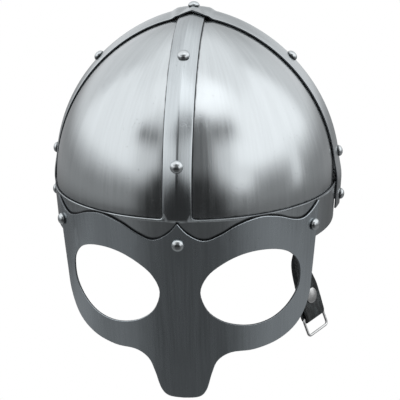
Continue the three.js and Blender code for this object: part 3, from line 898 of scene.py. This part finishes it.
@dataclass
class SkullPlates:
    """The four plates of the skull, tucked behind the brow band."""

    tuck: float = 9.0
    hem_shrink: float = 0.9875
    seam: float = 0.3
    ring_steps: int = 30
    row: float = 2.5

    def profile(self) -> list[Vector]:
        """Returns the plates' section from the apex to the hem, in the plane of X and Z."""
        points = []
        for station in steps(0, 90, self.row):
            points.append(FORM.dome_point(FORM.dome_half_width * FORM.dome_reach(station), 0, 0))
        hem = FORM.dome_half_width * self.hem_shrink
        for share in (0.3, 0.65, 1.0):
            width = FORM.dome_half_width + (hem - FORM.dome_half_width) * share
            points.append(Vector((width, 0, FORM.brow_height - self.tuck * share)))
        return points

    def blank_place(self, spot: Vector) -> Point:
        """Returns a point's place on the map: length round the skull, and degrees doubled, downwards."""
        turn = math.atan2(spot.x / FORM.dome_half_width, -spot.y / FORM.dome_half_length)
        reach = min(math.hypot(spot.x / FORM.dome_half_width, spot.y / FORM.dome_half_length), 1.0)
        down = 2 * math.degrees(math.asin(reach ** (FORM.plan_power / 2)))
        if spot.z < FORM.brow_height:
            down = 180 + FORM.brow_height - spot.z
        return abs(turn) * FORM.face_radius, -down

    def build(self, *steels: bpy.types.Material) -> None:
        """Builds the four plates, each from a quarter turn of the section."""
        lengthen = FORM.dome_half_length / FORM.dome_half_width
        for end, side_y in (("front", -1), ("back", 1)):
            for side, side_x in (("left", 1), ("right", -1)):
                mesh = spun(self.profile(), math.pi / 2, self.ring_steps, closed=False)
                bmesh.ops.scale(mesh, vec=Vector((1, lengthen, 1)), verts=mesh.verts)
                for normal in (Vector((1, 0, 0)), Vector((0, 1, 0))):
                    bmesh.ops.bisect_plane(
                        mesh, geom=whole(mesh), dist=1e-5, plane_co=normal * self.seam / 2,
                        plane_no=normal, clear_inner=True,
                    )
                bmesh.ops.scale(mesh, vec=Vector((side_x, side_y, 1)), verts=mesh.verts)
                face_outwards(mesh, 0.0)
                lay_map(mesh, self.blank_place)
                node = f"skull_plate_{end}_{side}"
                finish_sheet(make_object(mesh, f"{node}_sheet"), steels, "plate_steel", node, 0.25, 2)


@dataclass
class BandFrame:
    """The brow band and the fore-and-aft crest band, one welded frame."""

    per_degree: float = 2.0
    crest_edge: float = 9.02
    corner: float = 2.2
    ridge_round: float = 0.9
    ridge_low_share: float = 0.45
    ridge_low_from: float = 76.0
    eye_middle: Point = (51.0, -23.0)
    trim: float = 1.035
    across_ridge: Sequence[float] = (0.35, 0.7, 1.1, 2.0, 3.6, 5.6, 7.6, 13.0)
    up_brow: Sequence[float] = (9.0, 18.0, 24.9, 25.7, 26.4, 27.1)

    @property
    def quarter(self) -> float:
        """Length of a quarter of the brow band, on the blank."""
        return FORM.face_radius * math.pi / 2

    @property
    def apex(self) -> float:
        """Height of the apex on the blank."""
        return FORM.brow_height + 90 * self.per_degree

    def eye_trim(self) -> list[Point]:
        """Returns the cut in the lower rim that keeps the brow band out of the eye opening."""
        middle_u, middle_z = self.eye_middle
        grown = [
            (middle_u + (u - middle_u) * self.trim, middle_z + (z - middle_z) * self.trim)
            for u, z in spline(EYE_OPENING, 4, closed=True)
        ]
        cut = []
        for (u, z), (next_u, next_z) in zip(grown, grown[1:]):
            if z > 0:
                cut.append((u, z))
            if z * next_z < 0:
                cut.append((u + (next_u - u) * z / (z - next_z), 0.0))
        return cut

    def outline(self, trimmed: bool) -> list[Point]:
        """Returns the quarter blank: brow band below, crest band above, a round inner corner between.

        Args:
            trimmed: Whether the lower rim is cut back behind the eye opening.

        Returns:
            The outline's points.
        """
        brow, crest, corner = FORM.brow_height, self.crest_edge, self.corner
        cut = self.eye_trim() if trimmed else []
        points = [(0.0, 0.0), *cut, (self.quarter, 0.0), (self.quarter, brow)]
        points += arc((crest + corner, brow + corner), corner, reversed(steps(180, 270, 22.5)))
        return [*points, (crest, self.apex), (0.0, self.apex)]

    def place(self, u: float, s: float) -> Vector:
        """Bends the blank: u goes round or across, s goes up the brow band and then up the crest."""
        across = FORM.brow_half_width * math.sin(u / FORM.face_radius)
        rounded = max(abs(across), (across**2 / self.ridge_round + self.ridge_round) / 2)
        if abs(across) > self.ridge_round:
            rounded = abs(across)
        station = 90 - (s - FORM.brow_height) / self.per_degree
        rise = FORM.ridge_rise * max(1 - rounded / FORM.crest_half_width, 0)
        rise *= 1 - (1 - self.ridge_low_share) * smooth(station, self.ridge_low_from, 90)
        rise *= smooth(s, FORM.brow_height - 2.6, FORM.brow_height - 0.4)
        if s <= FORM.brow_height:
            return FORM.wall_point(u, s, rise)
        return FORM.station_point(across, station, FORM.laid_on + rise, Over.FORE_AND_AFT)

    def build(self, *steels: bpy.types.Material) -> None:
        """Builds the frame from one quarter and its mirror images."""
        columns = [*self.across_ridge, *steps(16.3, self.quarter - 3.3, 3.3)]
        rows = [*self.up_brow, FORM.brow_height, *steps(FORM.brow_height + 3.6, self.apex - 3, 3.4)]
        seams = ((0, 0.0), (0, self.quarter), (1, self.apex))
        front, back = (
            SheetBlank(self.outline(trimmed)).rule(columns, rows).clear_edge(0.8, seams).bend(self.place)
            for trimmed in (True, False)
        )
        piece = front.joined_behind(back, self.quarter).mirrored("X").finish("brow_and_crest_frame_sheet")
        finish_sheet(piece, steels, "band_steel", "brow_and_crest_frame", 0.55, 3)


@dataclass
class TransverseBand:
    """The ridged band from ear to ear, which rides over the crest band and the brow band."""

    per_degree: float = 2.0
    stand_off_from: float = 82.0
    stand_off_to: float = 90.0
    tail_corner: float = 1.2
    ridge_round: float = 1.6
    across_ridge: Sequence[float] = (0.5, 1.0, 1.6, 3.0, 5.0, 7.5, 10.0, 12.5)

    def lift(self, across: float, station: float) -> float:
        """Returns the height of the band's outer face over the plates."""
        from_apex = FORM.dome_half_width * FORM.dome_reach(station)
        half = FORM.crest_half_width
        over_crest = 1 - smooth(from_apex, half + 1, half + 6)
        over_brow = smooth(station, self.stand_off_from, self.stand_off_to)
        rounded = abs(across)
        if rounded < self.ridge_round:
            rounded = (across**2 / self.ridge_round + self.ridge_round) / 2
        own_ridge = FORM.band_ridge_rise * max(1 - rounded / FORM.band_half_width, 0)
        crest_ridge = FORM.band_ridge_rise * max(1 - from_apex / (half + 0.5), 0)
        return FORM.laid_on + FORM.laid_on * max(over_crest, over_brow) + max(own_ridge, crest_ridge)

    def place(self, across: float, s: float) -> Vector:
        """Bends the blank: s runs down from the apex."""
        station = s / self.per_degree
        if station > 90:
            station = 90 + s - 90 * self.per_degree
        return FORM.station_point(across, station, self.lift(across, station), Over.EAR_TO_EAR)

    def build(self, *steels: bpy.types.Material) -> None:
        """Builds the band from one quarter and its mirror images."""
        half, corner = FORM.band_half_width, self.tail_corner
        foot = 90 * self.per_degree + FORM.band_tail
        outline = [(0.0, 0.0), (half, 0.0), (half, foot - corner)]
        outline += arc((half - corner, foot - corner), corner, (30, 60, 90))
        outline.append((0.0, foot))
        rows = [*steps(2.5, 25, 1.5), *steps(28, 180, 3.6), 186.0, 193.0]
        blank = SheetBlank(outline).rule(self.across_ridge, rows).clear_edge(0.8, ((0, 0.0), (1, 0.0)))
        piece = blank.bend(self.place).mirrored("X", "Y").finish("transverse_band_sheet")
        finish_sheet(piece, steels, "band_steel", "transverse_band", 0.55, 3)


@dataclass
class FaceMask:
    """The spectacle mask with its nasal, riveted over the front of the brow band."""

    upper: Sequence[Point] = MASK_UPPER_EDGE
    side: Sequence[Point] = ((103.9, 2), (102, -25), (100, -42), (89.6, -57.2), (72, -66))
    lower: Sequence[Point] = (
        (51, -69.6), (34, -69.4), (24.4, -74.8), (20, -85.3), (16.4, -97.8), (11, -103.8), (0, -105),
    )
    eye: Sequence[Point] = EYE_OPENING

    def place(self, u: float, z: float) -> Vector:
        """Lays the flat mask on the brow band and the wall line below it."""
        return FORM.wall_point(u, z, FORM.laid_on)

    def build(self, *steels: bpy.types.Material) -> None:
        """Builds the mask from one half and its mirror image."""
        edge = spline(self.upper, 5) + spline((*self.side, *self.lower), 5)
        blank = SheetBlank(edge, [spline(self.eye, 4, closed=True)])
        blank.rule(steps(3, 102, 3), steps(-96, 18, 6)).clear_edge(0.9)
        piece = blank.bend(self.place).mirrored("X").finish("face_mask_sheet")
        finish_sheet(piece, steels, "mask_steel", "face_mask", 0.42, 3)


@dataclass(frozen=True)
class Rivet:
    """One rivet: where its head stands, and how deep the stack under it is."""

    node: str
    foot: Vector
    normal: Vector
    grip: float
    head_radius: float = 4.0
    head_height: float = 3.2
    shank: float = 1.6
    tail_radius: float = 2.6
    tail_height: float = 1.0
    rim: float = 0.35
    turns: int = 32

    def profile(self) -> list[Point]:
        """Returns the section as radius and height, from the tail's middle to the crown."""
        tail = -self.grip - self.tail_height
        points = [
            (0.0, tail), (0.6 * self.tail_radius, tail + 0.08), (0.9 * self.tail_radius, tail + 0.25),
            (self.tail_radius, tail + 0.55), (self.tail_radius, -self.grip), (self.shank, -self.grip),
            (self.shank, 0.0), (self.head_radius - 0.12, 0.0), (self.head_radius, 0.12),
            (self.head_radius, self.rim),
        ]
        for angle in steps(12, 90, 9.75):
            turn = math.radians(angle)
            height = self.rim + (self.head_height - self.rim) * math.sin(turn)
            points.append((max(self.head_radius * math.cos(turn), 0.0), height))
        points[-1] = (0.0, self.head_height - 0.01)
        return points

    def build(self, material: bpy.types.Material, slot: str) -> None:
        """Spins the section and stands the rivet on its foot."""
        section = [Vector((radius, 0, height)) for radius, height in self.profile()]
        mesh = spun(section, 2 * math.pi, self.turns, closed=True)
        bmesh.ops.recalc_face_normals(mesh, faces=mesh.faces)
        lay_map(mesh, lambda spot: (spot.xy.length, spot.z))
        stand = Vector((0, 0, 1)).rotation_difference(self.normal).to_matrix().to_4x4()
        bmesh.ops.transform(mesh, matrix=Matrix.Translation(self.foot) @ stand, verts=mesh.verts)
        piece = make_object(mesh, f"{self.node}_head")
        even_out(piece)
        dress(piece, material)
        stand_for(piece, HELMET_BODY, slot, self.node)


@dataclass
class Riveting:
    """All the domed rivets of the helmet, by the place that they hold."""

    band: TransverseBand
    sink: float = 0.4
    crest_upper: float = 38.4
    crest_lower: float = 74.6
    band_upper: float = 44.0
    band_middle: float = 81.3
    band_lower: float = 103.3
    mask_along: float = 100.0
    mask_height: float = 11.0
    strap_room: float = 3.1

    def on_band(self, node: str, station: float, over: Over, side: int, lift: float) -> Rivet:
        """Sets a rivet on a band's ridge.

        Args:
            node: The CAD node it stands for.
            station: How far down the band it is.
            over: The band's way.
            side: Which of the band's two ends, 1 or -1.
            lift: Height of the flat sheet's outer face there over the plates.

        Returns:
            The rivet.
        """
        foot = FORM.station_point(0, station, 0, over)
        normal = (FORM.station_point(0, station, 10, over) - foot).normalized()
        turned = Vector((side, 1, 1)) if over is Over.EAR_TO_EAR else Vector((1, side, 1))
        foot, normal = foot * turned, normal * turned
        ridge_rise = FORM.band_ridge_rise if over is Over.EAR_TO_EAR else FORM.ridge_rise
        seat = lift + ridge_rise - self.sink
        inside = 0.0 if station > 90 else -FORM.sheet
        return Rivet(node, foot + normal * seat, normal, seat - inside + FORM.gap)

    def on_mask(self, node: str, along: float, extra: float) -> Rivet:
        """Sets a rivet on the mask, with room for what else it holds."""
        foot = FORM.wall_point(along, self.mask_height, 0)
        after, before = (FORM.wall_point(along + step, self.mask_height, 0) for step in (2, -2))
        tangent = after - before
        normal = tangent.cross(Vector((0, 0, 1))).normalized()
        seat = FORM.laid_on + FORM.gap
        return Rivet(node, foot + normal * seat, normal, seat + FORM.sheet + FORM.gap + extra)

    def build(self, material: bpy.types.Material) -> None:
        """Builds every rivet."""
        single, double = FORM.laid_on, 2 * FORM.laid_on
        part_way = smooth(self.band_middle, self.band.stand_off_from, self.band.stand_off_to)
        rivets = [self.on_band("rivet_apex", 0, Over.EAR_TO_EAR, 1, double)]
        for end, side in (("front", 1), ("back", -1)):
            for level, station in (("upper", self.crest_upper), ("lower", self.crest_lower)):
                name = f"rivet_crest_{end}_{level}"
                rivets.append(self.on_band(name, station, Over.FORE_AND_AFT, side, single))
        for end, side in (("left", 1), ("right", -1)):
            for level, station, lift in (
                ("upper", self.band_upper, single),
                ("middle", self.band_middle, single * (1 + part_way)),
                ("lower", self.band_lower, double),
            ):
                name = f"rivet_band_{end}_{level}"
                rivets.append(self.on_band(name, station, Over.EAR_TO_EAR, side, lift))
        rivets.append(self.on_mask("rivet_mask_centre", 0, 0))
        rivets.append(self.on_mask("rivet_mask_right", -self.mask_along, 0))
        rivets.append(self.on_mask("rivet_mask_left", self.mask_along, self.strap_room))
        for rivet in rivets:
            rivet.build(material, "rivet_steel")


@dataclass
class StrapAndBuckle:
    """The leather strap inside the brow band, folded over the bar of its wire loop."""

    bar: Vector = field(default_factory=lambda: Vector((86.2, -45.2, -61.2)))
    bar_axis: Vector = field(default_factory=lambda: Vector((0.62, 0.77, 0.12)).normalized())
    thickness: float = 2.2
    half_width: float = 9.3
    stand_off: float = 0.6
    wire: float = 0.9
    loop_half_width: float = 10.6
    loop_length: float = 12.3
    loop_corner: float = 2.2
    rivet_up: float = -14.5
    strap_lean: float = 12.0
    loop_lean: float = 9.0
    length: float = 112.5
    corner: float = 3.0
    edge: float = 0.6
    tucked: float = 8.5
    flare: float = 0.8
    twist_from: float = 0.2
    twist_to: float = 0.34
    across_strap: Sequence[float] = (-6.0, -3.0, 0.0, 3.0, 6.0)

    @property
    def hang(self) -> Vector:
        """The way that the strap reaches its bar: down, and a little away from the head."""
        down = Vector((0, 0, -1))
        level = (down - self.bar_axis * down.dot(self.bar_axis)).normalized()
        return Matrix.Rotation(-math.radians(self.strap_lean), 3, self.bar_axis) @ level

    @property
    def face(self) -> Vector:
        """The way that the strap's outer face looks at the buckle."""
        return self.hang.cross(self.bar_axis).normalized()

    @property
    def layer(self) -> float:
        """Distance of each layer of the folded strap from the middle of the two."""
        return self.thickness / 2 + FORM.gap

    def spot(self, down: float, out: float) -> Vector:
        """Returns a point near the buckle: along the hang, and out from the strap's middle."""
        return self.bar + self.hang * down + self.face * out

    def course(self) -> list[Vector]:
        """Returns what the strap's middle line passes, from inside the brow band to its tucked end."""
        along = Riveting.mask_along
        on_brow = -FORM.laid_on - self.stand_off - self.thickness / 2
        fold = self.wire + FORM.gap + self.thickness / 2
        points = [
            FORM.wall_point(along, 17, on_brow),
            FORM.wall_point(along, 11, on_brow),
            FORM.wall_point(along, 1, on_brow - 0.6),
            Vector((76, -53.3, -18)),
            Vector((78.8, -51.9, -33)),
            self.spot(self.rivet_up, self.layer),
            self.spot(-6, fold - 0.2),
        ]
        for turn in (0, 45, 90, 135, 180):
            lean = math.radians(turn)
            points.append(self.spot(fold * math.sin(lean), fold * math.cos(lean)))
        points += [
            self.spot(-6, -fold + 0.2),
            self.spot(self.rivet_up, -self.layer),
            self.spot(self.rivet_up - self.tucked, -self.layer - self.flare),
        ]
        return points

    def line(self, share: float) -> Vector:
        """Returns the point of the strap's middle line at a share of its length."""
        points = self.course()
        at = min(max(share, 0.0), 1.0) * (len(points) - 1)
        index = min(int(at), len(points) - 2)
        start, end = points[index], points[index + 1]
        before = points[index - 1] if index else start * 2 - end
        after = points[index + 2] if index + 2 < len(points) else end * 2 - start
        gaps = [(b - a).length ** 0.5 for a, b in ((before, start), (start, end), (end, after))]
        leave = (start - before) / gaps[0] - (end - before) / (gaps[0] + gaps[1]) + (end - start) / gaps[1]
        reach = (end - start) / gaps[1] - (after - start) / (gaps[1] + gaps[2]) + (after - end) / gaps[2]
        leave, reach, t = leave * gaps[1], reach * gaps[1], at - index
        return (
            start + leave * t + (end * 3 - start * 3 - leave * 2 - reach) * t**2
            + (start * 2 - end * 2 + leave + reach) * t**3
        )

    def place(self, across: float, s: float) -> Vector:
        """Bends the flat strap along its line."""
        share, step = s / self.length, 1e-3
        tangent = (self.line(share + step) - self.line(share - step)).normalized()
        along = Riveting.mask_along
        round_brow = (FORM.wall_point(along + 2, 0, 0) - FORM.wall_point(along - 2, 0, 0)).normalized()
        width = round_brow.lerp(self.bar_axis, smooth(share, self.twist_from, self.twist_to))
        width = (width - tangent * width.dot(tangent)).normalized()
        return self.line(share) + width * across

    def build_strap(self, material: bpy.types.Material) -> None:
        """Builds the strap, with round corners at both ends."""
        side, end = self.half_width - self.corner, self.length - self.corner
        outline = []
        for centre, start in (
            ((side, self.corner), -90), ((side, end), 0), ((-side, end), 90), ((-side, self.corner), 180),
        ):
            outline += arc(centre, self.corner, steps(start, start + 90, 22.5))
        blank = SheetBlank(outline).rule(self.across_strap, steps(3.5, self.length - 3.5, 0.9))
        piece = blank.clear_edge(0.4, ()).bend(self.place).finish("chin_strap_leather")
        solid = piece.modifiers.new("thickness", "SOLIDIFY")
        solid.thickness = self.thickness * MM
        solid.offset = 0.0
        bevel = piece.modifiers.new("edge", "BEVEL")
        bevel.width = self.edge * MM
        bevel.segments = 3
        bevel.limit_method = "ANGLE"
        bevel.angle_limit = math.radians(60)
        even_out(piece)
        dress(piece, material)
        stand_for(piece, HELMET_BODY, "strap_leather", "chin_strap")

    def build_loop(self, material: bpy.types.Material) -> None:
        """Builds the wire loop: a round section drawn along straights and turned round corners."""
        corner = self.loop_corner
        right, far = self.loop_half_width - corner, self.loop_length - corner
        mesh = bmesh.new()
        bmesh.ops.create_circle(mesh, segments=16, radius=self.wire)
        bmesh.ops.rotate(mesh, verts=mesh.verts, cent=(0, 0, 0), matrix=Matrix.Rotation(math.pi / 2, 3, "Y"))
        ring = mesh.verts[:] + mesh.edges[:]
        runs = (
            (Vector((right, 0, 0)), Vector((right, corner, 0))),
            (Vector((0, far - corner, 0)), Vector((right, far, 0))),
            (Vector((-2 * right, 0, 0)), Vector((-right, far, 0))),
            (Vector((0, corner - far, 0)), Vector((-right, corner, 0))),
            (Vector((right, 0, 0)), None),
        )
        for straight, centre in runs:
            edges = [item for item in ring if isinstance(item, bmesh.types.BMEdge)]
            grown = bmesh.ops.extrude_edge_only(mesh, edges=edges)["geom"]
            verts = [item for item in grown if isinstance(item, bmesh.types.BMVert)]
            bmesh.ops.translate(mesh, vec=straight, verts=verts)
            ring = verts + [
                item for item in grown
                if isinstance(item, bmesh.types.BMEdge) and all(vert in verts for vert in item.verts)
            ]
            if centre is not None:
                turned = bmesh.ops.spin(
                    mesh, geom=ring, cent=centre, axis=(0, 0, 1), dvec=(0, 0, 0), angle=math.pi / 2,
                    steps=8, use_duplicate=False,
                )
                ring = turned["geom_last"]
        bmesh.ops.remove_doubles(mesh, verts=mesh.verts, dist=WELD)
        bmesh.ops.recalc_face_normals(mesh, faces=mesh.faces)
        hang = Matrix.Rotation(-math.radians(self.loop_lean), 3, self.bar_axis) @ self.hang
        frame_axes = Matrix((self.bar_axis, hang, self.bar_axis.cross(hang))).transposed().to_4x4()
        bmesh.ops.transform(mesh, matrix=Matrix.Translation(self.bar) @ frame_axes, verts=mesh.verts)
        piece = make_object(mesh, "buckle_loop_wire")
        dress(piece, material)
        stand_for(piece, BUCKLE_BODY, "buckle_steel", "buckle_loop")

    def build_rivet(self, material: bpy.types.Material) -> None:
        """Builds the flat rivet through the two layers of the strap."""
        out = self.layer + self.thickness / 2 + FORM.gap
        foot = self.spot(self.rivet_up, out)
        rivet = Rivet(
            "rivet_strap", foot, self.face, 2 * out,
            head_radius=5.5, head_height=1.2, tail_radius=4.0, rim=0.3,
        )
        rivet.build(material, "buckle_steel")


# ---- Stage -------------------------------------------------------------------------------------------


@dataclass(frozen=True)
class SoftPanel:
    """A soft light or a dark screen of the studio, by the direction it is seen in, in degrees."""

    azimuth: float
    elevation: float
    half_width: float
    half_height: float
    softness: float
    brightness: float


@dataclass
class Studio:
    """Floor, camera and the ring of soft panels that the steel reflects. Azimuth 0 is in front, + to +X."""

    floor_drop: float = 0.32
    panels: Sequence[SoftPanel] = (
        SoftPanel(0, 80, 180, 24, 8, 1.12),        # overhead sheet
        SoftPanel(-82, 34, 36, 23, 8, 1.20),       # side walls
        SoftPanel(84, 34, 42, 23, 8, 1.34),
        SoftPanel(0, 68, 80, 14, 16, 1.28),        # lamps over the front
        SoftPanel(40, 68, 30, 12, 14, 1.65),
        SoftPanel(180, 34, 26, 8, 14, 0.50),       # behind
        SoftPanel(0, -3, 180, 9, 9, 0.32),         # below the horizon
        SoftPanel(0, -20, 180, 10, 8, 0.14),
        SoftPanel(88, -17, 44, 7, 7, 0.22),
        SoftPanel(0, -62, 180, 34, 5, 0.27),
        SoftPanel(-76, -34, 16, 12, 10, 0.20),
        SoftPanel(47, 7, 9, 8, 6, 1.10),           # upright strips of light
        SoftPanel(98, 6, 5, 11, 6, 1.15),
        SoftPanel(-40, 37, 12, 5, 7, 0.14),        # dark screens
        SoftPanel(38, 42, 14, 6, 9, 0.19),
        SoftPanel(0, 26, 24, 29, 6, 0.17),         # in front
        SoftPanel(0, -42, 50, 20, 26, 0.062),
        SoftPanel(-3, -12, 38, 14, 8, 0.032),
        SoftPanel(-3, 4, 29, 9, 7, 0.035),
    )
    base: float = 0.85
    tint: Colour = (0.985, 1.0, 1.02)
    floor_reach: float = 30000.0
    lens: float = 69.54
    camera_at: Triple = (0.05914, -0.54713, 0.1739)
    camera_back: Triple = (0.0980, -0.9519, 0.2903)
    camera_right: Triple = (0.9950, 0.0994, -0.0102)

    def build_floor(self) -> None:
        """Builds the plain pale floor."""
        mesh = bmesh.new()
        bmesh.ops.create_grid(mesh, x_segments=1, y_segments=1, size=self.floor_reach)
        bmesh.ops.translate(mesh, vec=Vector((0, 0, -self.floor_drop / MM)), verts=mesh.verts)
        floor = make_object(mesh, "floor")
        made = bpy.data.materials.new("pale_floor")
        made.use_nodes = True
        sketch = Sketch(made.node_tree)
        glow = sketch.add("ShaderNodeEmission", {"Color": (1, 1, 1, 1), "Strength": 1.0})
        sketch.add("ShaderNodeOutputMaterial", {"Surface": glow.outputs[0]})
        floor.data.materials.append(made)
        floor.visible_glossy = False
        floor.visible_diffuse = False
        floor.visible_shadow = False

    def panel_group(self) -> bpy.types.NodeTree:
        """Builds the group that says how much of a panel is seen in a direction."""
        names = ("Azimuth", "Elevation", "Centre azimuth", "Centre elevation")
        names += ("Half width", "Half height", "Softness")
        sketch, given, out = new_group("soft_panel", {name: (VALUE, 0.0) for name in names}, ("Seen",))
        ask = given.outputs
        turn = sketch.math("SUBTRACT", ask["Azimuth"], ask["Centre azimuth"])
        turn = sketch.math("ABSOLUTE", sketch.math("WRAP", turn, 180.0, -180.0))
        rise = sketch.math("ABSOLUTE", sketch.math("SUBTRACT", ask["Elevation"], ask["Centre elevation"]))
        shares = []
        for away, half in ((turn, ask["Half width"]), (rise, ask["Half height"])):
            past = sketch.math("DIVIDE", sketch.math("SUBTRACT", away, half), ask["Softness"])
            shares.append(sketch.step(past, 1.0, -1.0))
        sketch.fill_all(out, {"Seen": sketch.math("MULTIPLY", *shares)})
        return sketch.tree

    def build_world(self) -> None:
        """Builds the studio round the helmet. The camera itself sees plain white behind the object."""
        world = bpy.data.worlds.new("studio")
        bpy.context.scene.world = world
        world.use_nodes = True
        sketch = Sketch(world.node_tree)
        group = self.panel_group()
        way = sketch.add("ShaderNodeTexCoord").outputs["Generated"]
        axes = sketch.add("ShaderNodeSeparateXYZ", {0: way}).outputs
        turn = sketch.math("ARCTAN2", axes["X"], sketch.math("MULTIPLY", axes["Y"], -1.0))
        azimuth = sketch.math("DEGREES", turn)
        elevation = sketch.math("DEGREES", sketch.math("ARCSINE", axes["Z"]))
        light = self.base
        for panel in self.panels:
            seen = sketch.use(group, {
                "Azimuth": azimuth,
                "Elevation": elevation,
                "Centre azimuth": panel.azimuth,
                "Centre elevation": panel.elevation,
                "Half width": panel.half_width,
                "Half height": panel.half_height,
                "Softness": panel.softness,
            })
            inputs = {0: seen.outputs[0], 2: light, 3: panel.brightness}
            light = sketch.add("ShaderNodeMix", inputs, data_type="FLOAT").outputs[0]
        shares = {index: sketch.math("MULTIPLY", light, share) for index, share in enumerate(self.tint)}
        tint = sketch.add("ShaderNodeCombineColor", shares)
        around = sketch.add("ShaderNodeBackground", {"Color": tint.outputs[0]})
        behind = sketch.add("ShaderNodeBackground", {"Color": (1, 1, 1, 1)})
        seen = sketch.add("ShaderNodeLightPath").outputs["Is Camera Ray"]
        both = sketch.add("ShaderNodeMixShader", {0: seen, 1: around.outputs[0], 2: behind.outputs[0]})
        sketch.add("ShaderNodeOutputWorld", {"Surface": both.outputs[0]})

    def build_camera(self) -> None:
        """Stands the camera in front, a little above and to the wearer's left."""
        data = bpy.data.cameras.new("camera")
        data.lens = self.lens
        data.sensor_width = 36.0
        data.clip_start = 0.01
        camera = bpy.data.objects.new("camera", data)
        bpy.context.scene.collection.objects.link(camera)
        back = Vector(self.camera_back).normalized()
        right = Vector(self.camera_right)
        right = (right - back * right.dot(back)).normalized()
        turned = Matrix((right, back.cross(right), back)).transposed().to_4x4()
        camera.matrix_world = Matrix.Translation(self.camera_at) @ turned
        bpy.context.scene.camera = camera

    def build(self) -> None:
        """Builds the whole stage."""
        self.build_camera()
        self.build_floor()
        self.build_world()
        bpy.context.scene.view_settings.view_transform = "Standard"


def main() -> None:
    """Builds the helmet's pieces in the order that they are put together, then the stage."""
    logging.basicConfig(level=logging.INFO, format="%(name)s: %(message)s")
    effects = Effects()
    finishes = (
        PLATE_STEEL, FRAME_STEEL, BAND_STEEL, MASK_STEEL, CUT_EDGE_SHADE_STEEL, RIVET_STEEL, PLATED_WIRE, STRAP_LEATHER,
    )
    # cut is the dark steel of the cut edges, which paints shade there.
    plate, frame_steel, band, mask, cut, rivet, wire, leather = (finish.make(effects) for finish in finishes)
    ear_band = TransverseBand()
    SkullPlates().build(plate, cut)
    BandFrame().build(frame_steel, cut)
    ear_band.build(band, cut)
    FaceMask().build(mask, cut)
    Riveting(ear_band).build(rivet)
    strap = StrapAndBuckle()
    strap.build_strap(leather)
    strap.build_rivet(wire)
    strap.build_loop(wire)
    Studio().build()


if __name__ == "__main__":
    main()
